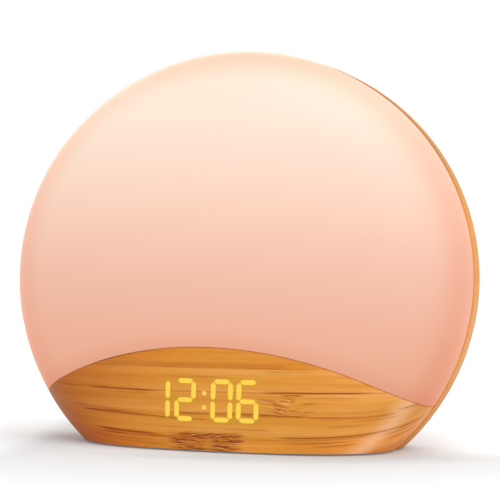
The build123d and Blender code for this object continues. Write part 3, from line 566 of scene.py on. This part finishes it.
# Shader maths, written as expressions
class Signal:
    # one output of a node; maths on it adds Math nodes
    def __init__(self, paint, socket):
        self.paint = paint
        self.socket = socket

    def math(self, operation, other=0.0, reflected=False):
        values = {0: other, 1: self} if reflected else {0: self, 1: other}
        return self.paint.node("ShaderNodeMath", {"operation": operation}, values)

    def __add__(self, other):
        return self.math("ADD", other)

    def __radd__(self, other):
        return self.math("ADD", other, True)

    def __sub__(self, other):
        return self.math("SUBTRACT", other)

    def __rsub__(self, other):
        return self.math("SUBTRACT", other, True)

    def __mul__(self, other):
        return self.math("MULTIPLY", other)

    def __rmul__(self, other):
        return self.math("MULTIPLY", other, True)

    def __truediv__(self, other):
        return self.math("DIVIDE", other)

    def __rtruediv__(self, other):
        return self.math("DIVIDE", other, True)

    def __pow__(self, other):
        return self.math("POWER", other)

    def __rpow__(self, other):
        return self.math("POWER", other, True)

    def ease(self, low, high):
        # 0 before low, 1 past high and smooth between, whichever of the two is larger
        return self.paint.node(
            "ShaderNodeMapRange", {"interpolation_type": "SMOOTHSTEP"},
            {"Value": self, "From Min": low, "From Max": high})


class Paint:
    # one material and its node tree
    def __init__(self, name):
        self.material = bpy.data.materials.new(name)
        self.material.use_nodes = True
        self.tree = self.material.node_tree
        self.tree.nodes.clear()
        self.output = self.tree.nodes.new("ShaderNodeOutputMaterial")

    def node(self, kind, settings=None, sockets=None, output=0):
        fed = {key: getattr(value, "socket", value) for key, value in (sockets or {}).items()}
        return Signal(self, growNode(self.tree, kind, settings, fed).outputs[output])

    def ramp(self, place, stops):
        # colours between stops
        made = growNode(self.tree, "ShaderNodeValToRGB", links={0: place.socket})
        elements = made.color_ramp.elements
        while len(elements) < len(stops):
            elements.new(0.5)
        for element, (position, colour) in zip(elements, stops):
            element.position = position
            element.color = (*colour, 1)
        return Signal(self, made.outputs[0])

    def place(self, centre=(0, 0, 0)):
        # the point shaded, from the given centre
        spot = self.node("ShaderNodeTexCoord", output=3)
        return self.node("ShaderNodeVectorMath", {"operation": "SUBTRACT"}, {0: spot, 1: centre})

    def parts(self, vector):
        # its x, y and z
        return [self.node("ShaderNodeSeparateXYZ", sockets={0: vector}, output=axis) for axis in range(3)]

    def given(self, name):
        # a value that the points of the mesh carry
        return self.node("ShaderNodeAttribute", {"attribute_name": name}, output=2)

    def vector(self, x, y, z):
        return self.node("ShaderNodeCombineXYZ", sockets={0: x, 1: y, 2: z})

    def noise(self, vector, scale=1.0, detail=2.0, roughness=0.5):
        return self.node(
            "ShaderNodeTexNoise", {"noise_dimensions": "3D"},
            {"Vector": vector, "Scale": scale, "Detail": detail, "Roughness": roughness})

    def mix(self, amount, first, second, blend="MIX"):
        settings = {"data_type": "RGBA", "blend_type": blend}
        return self.node("ShaderNodeMix", settings, {0: amount, 6: first, 7: second}, output=2)

    def tint(self, amount, colour, by):
        # multiplied by another colour, as far as the amount says
        return self.mix(amount, colour, self.mix(1.0, colour, by, "MULTIPLY"))

    def bump(self, height, strength, distance):
        return self.node("ShaderNodeBump", sockets={
            "Height": height, "Strength": strength, "Distance": distance})

    def finish(self, **sockets):
        # the surface shader; its sockets' names are written with underscores
        named = {key.replace("_", " "): value for key, value in sockets.items()}
        surface = self.node("ShaderNodeBsdfPrincipled", sockets=named)
        self.tree.links.new(surface.socket, self.output.inputs["Surface"])
        return self.material


def linear(red, green, blue):
    # a colour as painted, 0 to 255, on the renderer's own scale
    values = [channel / 255 for channel in (red, green, blue)]
    return tuple(v / 12.92 if v <= 0.04045 else ((v + 0.055) / 1.055) ** 2.4 for v in values)


def distance(first, second):
    return (first * first + second * second) ** 0.5


def dress(material, *nodeNames):
    for name in nodeNames:
        mesh = frame["nodes"][name].data
        for index in range(len(mesh.materials)):
            mesh.materials[index] = material


bamboo = {
    "stripWidth": 0.00927,
    "firstJoint": -0.0353,
    "tones": [  # each strip's own tone, from the joint line down
        (0.00, linear(222, 144, 50)),
        (0.20, linear(229, 161, 68)),
        (0.40, linear(226, 152, 54)),
        (0.60, linear(230, 157, 60)),
        (0.80, linear(221, 142, 54)),
    ],
    "toneStart": 0.10,  # the first joint's place among them
    "toneStep": 0.20,  # and on to the next
    "fibre": linear(194, 108, 22),
    "streak": linear(156, 68, 2),
    # pale: for the grain's pale fibres, and for painted highlights
    "pale": linear(246, 194, 134),
    "scar": linear(196, 108, 26),
    "node": linear(134, 54, 4),
    # painted glow of the lit figures on the skin
    "halo": linear(200, 156, 30),
    # slow waves: fineness across and up, seed, and how far they move fibres and joints
    "waves": ((28, 60), 4.0),
    "waveDepth": 0.0009,
    "jointDepth": 0.0006,
    "jointEdge": 0.05,  # half a joint's width, in strips
    "jointShare": (0.10, 0.35),  # least darkness of the joints, and what varies along them
    "jointBreak": (0.35, 0.6),
    "seedStep": 4.37,  # between the patterns of two strips
    "along": ((55, 140), 5.0),  # what varies along joints and streaks
    # layers of grain: fineness across and up, detail and roughness
    "grain": {
        "slow": ((7, 160), 2, 0.5),
        "threads": ((14, 700), 3, 0.6),
        "fibres": ((40, 2600), 3, 0.6),
    },
    # what they add: where it starts and is full on the noise, amount and colour
    "layers": (
        ("slow", 0.60, 0.38, 0.22, "fibre"),
        ("slow", 0.52, 0.70, 0.16, "pale"),
        ("threads", 0.47, 0.30, 0.42, "fibre"),
        ("threads", 0.56, 0.72, 0.20, "pale"),
        ("fibres", 0.46, 0.30, 0.28, "fibre"),
    ),
    "roughness": (0.38, 0.14),  # least, and what the fibres add
    "gloss": (0.18, 0.12),  # of the front and of the rear
    "bump": (0.10, 0.0001),
}


def flatPlace(paint, y, across, height, radius, front):
    # the shaded point on the flat layout of the front dome or of the rear shell
    if front:
        onCrown = (radius / crown).math("ARCSINE") * crown
        back = y + band
        turn = (radius - shoulderMiddle).math("ARCTAN2", 0.0 - back)
        onShoulder = (turn - crownAngle) * shoulder + crownRun
        pastCrown = radius.math("GREATER_THAN", crown * math.sin(crownAngle))
        pastShoulder = back.math("GREATER_THAN", 0)
        run = onCrown + (onShoulder - onCrown) * pastCrown
        run = run + (back + shoulderRun - run) * pastShoulder
    else:
        panel, rounding = housing["rearPanel"], housing["rearShoulder"]
        bend = housing["rearDepth"] - rounding
        onBend = (radius - panel).math("ARCTAN2", y - bend) * rounding + panel
        onBand = (bend - y) + (panel + rounding * math.pi / 2)
        pastPanel = radius.math("GREATER_THAN", panel)
        run = radius + (onBend - radius) * pastPanel
        run = run + (onBand - run) * (y.math("LESS_THAN", bend) * pastPanel)
    stretch = run / (radius + 1e-6)  # never divides by nought
    return across * stretch, height * stretch


def grain(paint, across, up, fineness, seed, detail=2, roughness=0.5, aside=None):
    # noise with its own fineness across and up, per metre
    first = across * fineness[0]
    if aside is not None:
        first = first + aside
    return paint.noise(paint.vector(first, up * fineness[1], seed), 1, detail, roughness)


def boxMask(across, up, left, right, low, high, soft):
    sides = across.ease(left - soft, left + soft) * across.ease(right + soft, right - soft)
    return sides * up.ease(low - soft / 3, low + soft / 3) * up.ease(high + soft / 3, high - soft / 3)


def addFlecks(paint, colour, mask, across, up, look):
    # short marks inside a mask: dark ones first, dark fibre and partly painted shadow, and pale painted
    # highlights beside them
    for lift, low, high, amount, tint in look["flecks"]:
        fleck = grain(paint, across, up + lift, *look["grain"])
        colour = paint.mix(mask * fleck.ease(low, high) * amount, colour, bamboo[tint])
    return colour


knotLook = {
    # areas on the flat layout, in metres: left, right, low, high and soft edge
    "area": (0.0200, 0.0400, -0.0530, -0.0464, 0.0045),
    "tangle": (0.0262, 0.0338, -0.0530, -0.0454, 0.0022),
    "dip": (0.0318, 0.0052, 0.0012),  # where the fibres bend: middle, half width, depth
    "curl": ((260, 520), 3.1),  # their unrest
    "curlDepth": (0.0013, 0.0008),  # in the whole area, and in the tangle besides
    "share": (0.60, 0.20),  # of the flecks, likewise
    # flecks: their grain, then lift, where it starts and is full, amount, colour; the lifted pale ones are
    # painted highlights
    "grain": ((75, 1500), 8.0, 2, 0.6),
    "flecks": ((0.0, 0.52, 0.63, 0.75, "streak"), (0.00035, 0.53, 0.66, 0.45, "pale")),
}


def bendAtKnot(paint, across, up, bent):
    # the fibres' course round the knot, and the mask of its flecks
    knot, tangle = (boxMask(across, up, *knotLook[area]) for area in ("area", "tangle"))
    middle, width, depth = knotLook["dip"]
    aside = (across - middle) / width
    dip = (aside * aside * -1.0).math("EXPONENT")
    curl = grain(paint, across, up, *knotLook["curl"]) - 0.5
    wild, wilder = knotLook["curlDepth"]
    share, more = knotLook["share"]
    return bent + knot * (dip * depth + curl * wild) + tangle * curl * wilder, knot * share + tangle * more


scarLook = {
    "area": (-0.0140, 0.0120, -0.0690, -0.0610, 0.003),
    "share": 0.45,  # of the stain's colour
    "ragged": ((60, 420), 11.0, 1),  # its ends
    "raggedReach": 0.016,
    "jag": ((300, 260), 7.0, 1),  # zigzag of its flecks
    "jagDepth": 0.0016,
    "plain": (0.0005, 0.0655, 0.0030, 0.0026),  # paler part: middle across and down, half sizes
    "plainJag": 0.002,
    "plainFade": 1.8,
    "plainShare": (0.35, 0.65),  # darkness left in its middle, and what comes back outside
    "grain": ((120, 1500), 2.0, 3, 0.6),
    # the lifted pale flecks are painted highlights beside the dark ones
    "flecks": ((0.0, 0.47, 0.55, 0.95, "node"), (0.0005, 0.54, 0.66, 0.40, "pale")),
}


def addScar(paint, colour, across, up):
    # the scar of a node: a ragged stain with zigzag flecks
    jag = grain(paint, across, up, *scarLook["jag"]) - 0.5
    ragged = across + (grain(paint, across, up, *scarLook["ragged"]) - 0.5) * scarLook["raggedReach"]
    middle, drop, wide, high = scarLook["plain"]
    aside, above = (across - middle) / wide, (up + drop + jag * scarLook["plainJag"]) / high
    left, back = scarLook["plainShare"]
    stain = boxMask(ragged, up, *scarLook["area"])
    stain = stain * ((aside * aside + above * above).ease(0.0, scarLook["plainFade"]) * back + left)
    colour = paint.mix(stain * scarLook["share"], colour, bamboo["scar"])
    return addFlecks(paint, colour, stain, across, up + jag * scarLook["jagDepth"], scarLook)


shineLook = {
    "slope": (0.788, 0.616),  # of the line it follows, across and up
    "offset": 0.0928,
    "bend": (0.056, 16.0),  # drop at which the line bends away, and how much
    "width": 0.0080,
    "top": (-0.044, -0.052),  # where it sets in
    "share": 0.62,
}


def addShine(paint, colour, across, up):
    # a soft band of light on the right shoulder
    (run, rise), (drop, curve) = shineLook["slope"], shineLook["bend"]
    below = up + drop
    off = (across * run - up * rise + below * below * curve - shineLook["offset"]).math("ABSOLUTE")
    shine = off.ease(shineLook["width"], 0.0)
    return paint.mix(shine * up.ease(*shineLook["top"]) * shineLook["share"], colour, bamboo["pale"])


streakLook = {
    "taper": 0.010,  # length of a streak's ends, at most
    "core": (1.1, 0.35),  # its edge and its full dark, in half thicknesses
    "haze": 0.0009,  # hair lines round it
    "hairs": ((30, 3600), 6.0, 2, 0.5, 9.0),  # their grain
    "hairEdge": (0.48, 0.60),
    "hairShare": 0.60,
    "share": (0.60, 0.40),  # least darkness, and what varies along the streaks
    "breaks": (0.25, 0.60),
    # millimetres on the flat layout: left, right, height, half thickness, fall to the right and depth
    "streaks": [
        (-47, 36, -34.3, 1, 0, 0.3),
        (-54, -17, -44.5, 0.5, 0.005, 0.8),
        (-41, -20, -45.9, 0.25, 0, 0.4),
        (19, 66, -44.3, 0.45, 0, 0.85),
        (36, 60, -46.3, 0.25, 0, 0.4),
        (28, 39, -45.2, 0.32, 0, 0.75),
        (20, 33, -46.9, 0.24, 0.12, 0.85),
        (25.5, 33, -48, 0.3, 0.16, 1),
        (26, 33, -49.4, 0.28, 0.22, 0.95),
        (24, 33.5, -50.7, 0.3, 0.24, 1),
        (31.5, 37.5, -50.3, 0.26, 0.1, 0.8),
        (37, 43, -48.6, 0.2, -0.06, 0.45),
        (36, 43, -51.7, 0.2, 0.03, 0.5),
        (32.8, 34.8, -46.5, 0.5, 0, 0.45),
        (-64, -30, -52, 0.28, 0.055, 0.4),
        (-58, 4, -53.9, 0.3, 0.03, 0.95),
        (-50, -26, -53.2, 0.22, 0.035, 0.45),
        (-18, 42, -53.2, 0.32, 0, 0.95),
        (37, 76, -54.2, 0.3, 0.01, 0.6),
        (25, 40, -53.6, 0.3, 0, 0.7),
        (5, 28, -59.4, 0.25, 0, 0.4),
        (44, 63, -57.6, 0.3, 0.005, 0.3),
        (-51, -16, -61.7, 0.65, 0.02, 0.9),
        (-48, -8, -63.1, 0.3, 0, 0.75),
        (-58, -20, -64.4, 0.25, 0.02, 0.55),
        (-52, -14, -65.9, 0.22, 0.01, 0.4),
        (-16, 18, -62.4, 0.45, 0, 0.95),
        (24, 92, -62.2, 0.32, 0, 0.85),
        (26, 60, -64.4, 0.25, 0.01, 0.65),
        (38, 60, -66, 0.24, 0.01, 0.6),
        (54, 78, -55.6, 0.22, 0.01, 0.45),
        (20, 46, -36.4, 0.2, 0, 0.35),
        (-22, 14, -38.6, 0.2, 0, 0.25),
        (72, 90, -52.6, 0.35, 0, 0.6),
        (64, 90, -64.4, 0.4, 0, 0.6),
        (66, 90, -67, 0.35, 0, 0.5),
    ],
}


def streakMask(across, up, left, right, height, thickness, fall, depth):
    # one dark streak that thins out towards its ends, and the band of hair lines round it
    left, right, height, thickness = (0.001 * value for value in (left, right, height, thickness))
    taper = min(streakLook["taper"], (right - left) / 3)
    edge, full = streakLook["core"]
    off = (up + across * fall - (height + left * fall)).math("ABSOLUTE")
    ends = across.ease(left, left + taper) * across.ease(right, right - taper) * depth
    haze = off.ease(streakLook["haze"] + thickness, thickness)
    return off.ease(thickness * edge, thickness * full) * ends, haze * ends


def addStreaks(paint, colour, across, bent, along):
    dark, hazy = 0.0, 0.0
    for streak in streakLook["streaks"]:
        core, haze = streakMask(across, bent, *streak)
        dark, hazy = core.math("MAXIMUM", dark), haze.math("MAXIMUM", hazy)
    hairs = grain(paint, across, bent, *streakLook["hairs"]).ease(*streakLook["hairEdge"])
    colour = paint.mix(hazy * hairs * streakLook["hairShare"], colour, bamboo["streak"])
    least, more = streakLook["share"]
    return paint.mix(dark * (along.ease(*streakLook["breaks"]) * more + least), colour, bamboo["streak"])


frontLook = {
    # tints of painted light and shade: colour, and where it sets in and is full, across and up
    "tints": (
        # painted shade: warmer and deeper towards the left end
        ((1.0, 0.93, 0.80), (0.012, -0.030), None),
        # painted shade: darker left end
        ((0.73, 0.51, 0.37), (-0.010, -0.072), None),
        # painted light: paler right side
        ((1.05, 1.06, 1.36), (0.036, 0.056), None),
        # painted light: lighter low on the right
        ((1.12, 1.10, 1.16), (0.036, 0.056), (-0.057, -0.063)),
        # painted light: lighter along the bottom edge, right of the middle
        ((1.16, 1.13, 1.08), (0.004, 0.016), (-0.0625, -0.0665)),
        # painted light: lighter low on the left
        ((1.20, 1.05, 0.94), (-0.020, -0.046), (-0.056, -0.066)),
    ),
    "edgeTint": (0.80, 0.80, 0.95),  # painted shade along the joint line
    "haloShare": 0.40,  # of the skin's colour round the figures that is painted glow
    "haloLight": 0.03,
}
rearLook = {
    "paleShare": 0.10,
    "rimPlain": linear(232, 164, 76),
    "rimReach": (0.020, 0.006),  # behind the rim
    "rimShare": 0.75,
    # painted shade on the upper part of the strip by the rim
    "rimShade": (0.70, 0.71, 0.74),
    "shadeRise": (0.018, 0.052),  # above the rim's centre, where the painted shade sets in and is full
    "tint": (0.91, 0.86, 0.86),
}


def bambooFinish(name, front):
    paint = Paint(name)
    x, y, z = paint.parts(paint.place(rimPlace))
    height = z / oval
    radius = distance(x, height)
    across, up = flatPlace(paint, y, x, height, radius, front)

    # strips, and the fibres in them
    wave = grain(paint, across, up, *bamboo["waves"]) - 0.5
    bent = up + wave * bamboo["waveDepth"]
    if front:
        bent, crinkled = bendAtKnot(paint, across, up, bent)
    strip = (up + wave * bamboo["jointDepth"] - bamboo["firstJoint"]) / bamboo["stripWidth"]
    number = strip.math("FLOOR")
    inStrip = strip - number
    apart = number * bamboo["seedStep"]
    layers = {
        label: grain(paint, across, bent, fineness, apart, detail, roughness, apart)
        for label, (fineness, detail, roughness) in bamboo["grain"].items()}
    along = grain(paint, across, up, *bamboo["along"])

    colour = paint.ramp(number * -bamboo["toneStep"] - bamboo["toneStart"], bamboo["tones"])
    for label, low, high, amount, tint in bamboo["layers"]:
        colour = paint.mix(layers[label].ease(low, high) * amount, colour, bamboo[tint])
    joint = inStrip.ease(bamboo["jointEdge"], 0.0) + inStrip.ease(1 - bamboo["jointEdge"], 1.0)
    least, more = bamboo["jointShare"]
    colour = paint.mix(joint * (along.ease(*bamboo["jointBreak"]) * more + least), colour, bamboo["streak"])

    glowing = {}
    if front:
        colour = addShine(paint, colour, across, up)
        colour = addStreaks(paint, colour, across, bent, along)
        colour = addFlecks(paint, colour, crinkled, across, bent, knotLook)
        colour = addScar(paint, colour, across, up)
        # painted light and shade over the front
        for tint, sideways, upward in frontLook["tints"]:
            mask = across.ease(*sideways)
            if upward:
                mask = mask * up.ease(*upward)
            colour = paint.tint(mask, colour, tint)
        # painted shade along the skin's edge at the joint line
        colour = paint.tint(paint.given("edge"), colour, frontLook["edgeTint"])
        # painted glow of the lit figures: in the skin's colour, and as a faint light
        halo = paint.given("halo")
        colour = paint.mix(halo * frontLook["haloShare"], colour, bamboo["halo"])
        glowing = {
            "Emission_Color": paint.mix(halo, (0, 0, 0), bamboo["halo"]),
            "Emission_Strength": frontLook["haloLight"]}
    else:
        colour = paint.mix(rearLook["paleShare"], colour, bamboo["pale"])
        nearRim = y.ease(*rearLook["rimReach"])
        colour = paint.mix(nearRim * rearLook["rimShare"], colour, rearLook["rimPlain"])
        # painted shade high up on the strip by the rim
        colour = paint.tint(nearRim * z.ease(*rearLook["shadeRise"]), colour, rearLook["rimShade"])
        colour = paint.mix(1.0, colour, rearLook["tint"], "MULTIPLY")
    fibres, (rough, rougher) = layers["fibres"], bamboo["roughness"]
    return paint.finish(
        Base_Color=colour, Roughness=rough + fibres * rougher,
        Specular_IOR_Level=bamboo["gloss"][0 if front else 1],
        Normal=paint.bump(fibres + layers["threads"], *bamboo["bump"]), **glowing)


glow = {
    "share": 0.695,  # of the dome's colour that is light from inside
    "skin": 0.26,  # and that the frosted skin scatters back
    "roughness": 0.5,
    "gloss": 0.15,
    "low": -0.048,  # height from the rim centre of the first and the last colour
    "high": 0.080,
    "stops": [
        (0.00, linear(236, 170, 140)),
        (0.19, linear(241, 181, 154)),
        (0.375, linear(245, 193, 171)),
        (0.53, linear(251, 208, 187)),
        (0.69, linear(255, 222, 203)),
        (0.85, linear(255, 233, 215)),
        (1.00, linear(255, 232, 213)),
    ],
    "middle": 0.005,  # the light's middle, to the side of the dome's
    "fade": (0.075, 0.089),  # distances from it between which the light falls off
    "rimTint": (0.99, 0.85, 0.77),
    "edgeTint": (0.98, 0.92, 0.90),
    "edgeFade": (0.0835, 0.0915),
    # painted shade: darker towards the top, in the dome's own light as well
    "topShade": (0.99, 0.86, 0.81),
    "topReach": (0.070, 0.089),
    # painted light on the left side and painted shade on the right
    "leftPaintedLight": (1.02, 1.015, 1.01),
    "rightPaintedShade": (0.985, 0.985, 0.985),
    "sideReach": (0.080, -0.080),
    # painted shadow just above the joint line
    "seamShade": (0.97, 0.90, 0.86),
    "seamReach": 0.008,
}


def domeFinish():
    paint = Paint("frostedDome")
    x, y, z = paint.parts(paint.place(rimPlace))
    hue = paint.ramp((z - glow["low"]) / (glow["high"] - glow["low"]), glow["stops"])
    height = z / oval
    hue = paint.tint(distance(x, height).ease(*glow["edgeFade"]), hue, glow["edgeTint"])
    nearRim = distance(x - glow["middle"], height).ease(*glow["fade"])
    hue = paint.tint(nearRim, hue, glow["rimTint"])
    # painted light on the left, painted shade on the right
    leftward = paint.mix(x.ease(*glow["sideReach"]), glow["rightPaintedShade"], glow["leftPaintedLight"])
    hue = paint.mix(1.0, hue, leftward, "MULTIPLY")
    # painted shade towards the top
    hue = paint.tint(z.ease(*glow["topReach"]), hue, glow["topShade"])
    # painted shadow just above the joint line
    nearSeam = distance(x, z - seamMiddle).ease(seamRadius + glow["seamReach"], seamRadius)
    hue = paint.tint(nearSeam, hue, glow["seamShade"])
    return paint.finish(
        Base_Color=paint.mix(1.0, hue, (glow["skin"],) * 3, "MULTIPLY"), Roughness=glow["roughness"],
        Specular_IOR_Level=glow["gloss"], Emission_Color=hue, Emission_Strength=glow["share"])


lit = {
    "segments": linear(255, 212, 84),
    "colon": linear(255, 202, 96),
    "deep": linear(255, 190, 40),  # mixed in by a fine grain
    "share": 0.12,
    "fineness": 1500,
    "edge": (0.35, 0.65),
    "unlit": (0.02, 0.012, 0.0),
    "roughness": 0.5,
    "gloss": 0.1,
}


def litFinish(name, colour):
    paint = Paint(name)
    grains = paint.noise(paint.place(rimPlace), lit["fineness"], 1)
    hue = paint.mix(grains.ease(*lit["edge"]) * lit["share"], colour, lit["deep"])
    return paint.finish(
        Base_Color=lit["unlit"], Roughness=lit["roughness"], Specular_IOR_Level=lit["gloss"],
        Emission_Color=hue, Emission_Strength=1.0)


plain = {
    "metals": ("brushed_steel", "brass", "aluminium", "chrome"),
    "roughness": {"rubber": 0.75, "gloss_plastic": 0.3, "fabric": 0.9, "paper": 0.85},
    "otherwise": 0.45,
    "darker": 0.82,  # darkest part of the clouds in the colour
    "cloudSize": 30,  # against the grain
    "cloudEdge": (0.3, 0.7),
    "bump": (0.15, 0.00005),
}
ink = {"colour": linear(92, 70, 52), "roughness": 0.5, "unevenness": 0.05, "fineness": 2500}


def plainFinish(name, colour, roughness, metallic=0.0, unevenness=0.04, fineness=900):
    # moulded or plated surface with a fine uneven grain
    paint = Paint(name)
    spot = paint.place()
    speck = paint.noise(spot, fineness, 2)
    cloud = paint.noise(spot, fineness / plain["cloudSize"], 2)
    darker = tuple(channel * plain["darker"] for channel in colour)
    return paint.finish(
        Base_Color=paint.mix(cloud.ease(*plain["cloudEdge"]), darker, colour), Metallic=metallic,
        Roughness=roughness - unevenness + speck * (2 * unevenness),
        Normal=paint.bump(speck, *plain["bump"]))


domeLens.data.materials.append(domeFinish())
fasciaSkin.data.materials.append(bambooFinish("bambooFront", True))
bambooRear = bambooFinish("bambooRear", False)
bambooWearers = ("rear_shell", "battery_door")
dress(bambooRear, *bambooWearers)
litSegments.data.materials.append(litFinish("amberLight", lit["segments"]))
litColon.data.materials.append(litFinish("colonLight", lit["colon"]))
for material in frame["record"]["materials"]:
    metallic = 1.0 if material["class"] in plain["metals"] else 0.0
    roughness = plain["roughness"].get(material["class"], plain["otherwise"])
    finish = plainFinish(material["slot"] + "Finish", material["base_color"][:3], roughness, metallic)
    wearers = [
        part["node"] for part in frame["record"]["subparts"] if part["material_slot"] == material["slot"]]
    dress(finish, *[name for name in wearers if name not in bambooWearers])
print("materials made")

makeSigns(plainFinish("keyInk", **ink))
makeDoorRibs(bambooRear)
print("signs and ribs made")

shot = {
    "azimuth": 0.325,
    "elevation": -0.0227,
    "distance": 0.5539,
    "lens": 99.62,
    "roll": 0.0136,
    "shift": (0.0152, 0.0535),
    "aimRise": 0.0006,  # aimed just above the rim centre
    "sensor": 36,
    "clip": (0.01, 20),
}


def addCamera():
    data = bpy.data.cameras.new("camera")
    camera = addObject("camera", data)
    turn, rise, reach = shot["azimuth"], shot["elevation"], shot["distance"]
    offset = Vector((math.sin(turn) * math.cos(rise), -math.cos(turn) * math.cos(rise), math.sin(rise)))
    facing = (-offset).to_track_quat("-Z", "Y").to_matrix().to_4x4()
    stand = Matrix.Translation(Vector(rimPlace) + Vector((0, 0, shot["aimRise"])) + offset * reach)
    camera.matrix_world = stand @ facing @ Matrix.Rotation(shot["roll"], 4, "Z")
    data.lens = shot["lens"]
    data.sensor_width = shot["sensor"]
    data.shift_x, data.shift_y = shot["shift"]
    data.clip_start, data.clip_end = shot["clip"]
    bpy.context.scene.camera = camera


studio = {
    "lamps": {  # place, width and height, power
        "overhead": ((0.15, 0.05, 0.90), (1.2, 1.0), 6.0),
        "frontRight": ((0.65, -0.85, 0.50), (0.7, 0.7), 7.0),
        "rear": ((-0.50, 0.95, 0.55), (0.7, 0.7), 5.0),
    },
    "objectOnly": "rear",  # this lamp leaves the floor alone
    "aim": (0, 0, 0.07),
    "room": 0.50,  # the white room's light on the object
}


def addLamps(allButFloor):
    for name, (place, size, power) in studio["lamps"].items():
        data = bpy.data.lights.new(name, "AREA")
        data.shape = "RECTANGLE"
        data.size, data.size_y = size
        data.energy = power
        lamp = addObject(name, data)
        lamp.location = place
        lamp.rotation_euler = (Vector(studio["aim"]) - Vector(place)).to_track_quat("-Z", "Y").to_euler()
        if name == studio["objectOnly"]:
            lamp.light_linking.receiver_collection = allButFloor


ground = {
    "reach": 4.0,
    "colour": (0.70, 0.71, 0.72),
    "slope": 0.487,  # of the line that parts front and back
    # the painted shadow round the base: its half sizes, its edge in these, its tints at the back and in
    # front
    "base": (0.074, 0.045),
    "baseEdge": (1.40, 0.95),
    "tints": ((1.0, 1.08, 1.11), (0.78, 0.86, 0.90)),
    "frontEdge": (-0.020, -0.050),
    # painted light that whitens the floor as the camera sees it, least near the object as a painted shadow:
    # under the object, beside it and far away
    "lift": (0.14, 0.16, 0.70),
    "sideMiddle": 0.004,
    "sideDepth": 0.25,  # share of the distance front to back, squared
    "sideEdge": (0.064, 0.090),
    "sideFront": (-0.060, -0.020),
    "farEdge": (0.10, 0.40),
    # the painted contact shadow on the left, along two directions turned to the view
    "turned": (0.948, 0.319),
    "contactLeft": (-0.088, -0.072),
    "contactRight": (0, -0.040),
    "contactBack": (0.24, 0.08),
    "contactShare": 0.90,
}


def floorFinish():
    paint = Paint("paleFloor")
    x, y, z = paint.parts(paint.place())
    # painted shadow round the base, cooler behind it and darker in front
    backward = y - x * ground["slope"]
    across, along = x / ground["base"][0], y / ground["base"][1]
    nearBase = distance(across, along).ease(*ground["baseEdge"])
    tint = paint.mix(backward.ease(*ground["frontEdge"]), *ground["tints"])
    shaded = paint.mix(1.0, ground["colour"], tint, "MULTIPLY")
    surface = paint.node(
        "ShaderNodeBsdfDiffuse", sockets={"Color": paint.mix(nearBase, ground["colour"], shaded)})

    # painted light for the camera, less beside and close to the object, which reads as its shadow
    aside = x - ground["sideMiddle"]
    beside = ((aside * aside + y * y * ground["sideDepth"]) ** 0.5).ease(*ground["sideEdge"])
    beside = beside * backward.ease(*ground["sideFront"])
    cosine, sine = ground["turned"]
    abreast, behind = x * cosine + y * sine, y * cosine - x * sine
    # painted contact shadow on the left
    contact = abreast.ease(*ground["contactLeft"]) * abreast.ease(*ground["contactRight"])
    contact = contact * behind.ease(*ground["contactBack"])
    beside = beside * (1.0 - contact * ground["contactShare"])
    far = distance(x, y).ease(*ground["farEdge"])
    under, side, away = ground["lift"]
    direct, mirrored = (paint.node("ShaderNodeLightPath", output=index) for index in (0, 3))
    lift = paint.node("ShaderNodeEmission", sockets={
        "Strength": direct.math("MAXIMUM", mirrored) * (beside * side + far * away + under)})
    both = paint.node("ShaderNodeAddShader", sockets={0: surface, 1: lift})
    paint.tree.links.new(both.socket, paint.output.inputs["Surface"])
    return paint.material


def addFloor():
    reach = ground["reach"]
    corners = [(-reach, -reach, 0), (reach, -reach, 0), (reach, reach, 0), (-reach, reach, 0)]
    floor = newPiece("floor", corners, [(0, 1, 2, 3)])
    floor.data.materials.append(floorFinish())
    # the dome's glow lights the object but doesn't tint the floor
    allButFloor = bpy.data.collections.new("allButFloor")
    allButFloor.objects.link(floor)
    allButFloor.collection_objects[0].light_linking.link_state = "EXCLUDE"
    domeLens.light_linking.receiver_collection = allButFloor
    return allButFloor


def setWorld():
    world = bpy.data.worlds.new("studio")
    bpy.context.scene.world = world
    world.use_nodes = True
    tree = world.node_tree
    tree.nodes.clear()
    path = tree.nodes.new("ShaderNodeLightPath").outputs
    seen = growNode(tree, "ShaderNodeMath", {"operation": "MAXIMUM"}, {
        0: path["Is Camera Ray"], 1: path["Is Glossy Ray"]})
    strength = growNode(tree, "ShaderNodeMapRange", links={
        "Value": seen, "To Min": studio["room"], "To Max": 1.0})
    room = growNode(tree, "ShaderNodeBackground", links={"Color": (1, 1, 1), "Strength": strength})
    growNode(tree, "ShaderNodeOutputWorld", links={"Surface": room})


addCamera()
addLamps(addFloor())
setWorld()
bpy.context.scene.view_settings.view_transform = "Standard"
print("stage set")
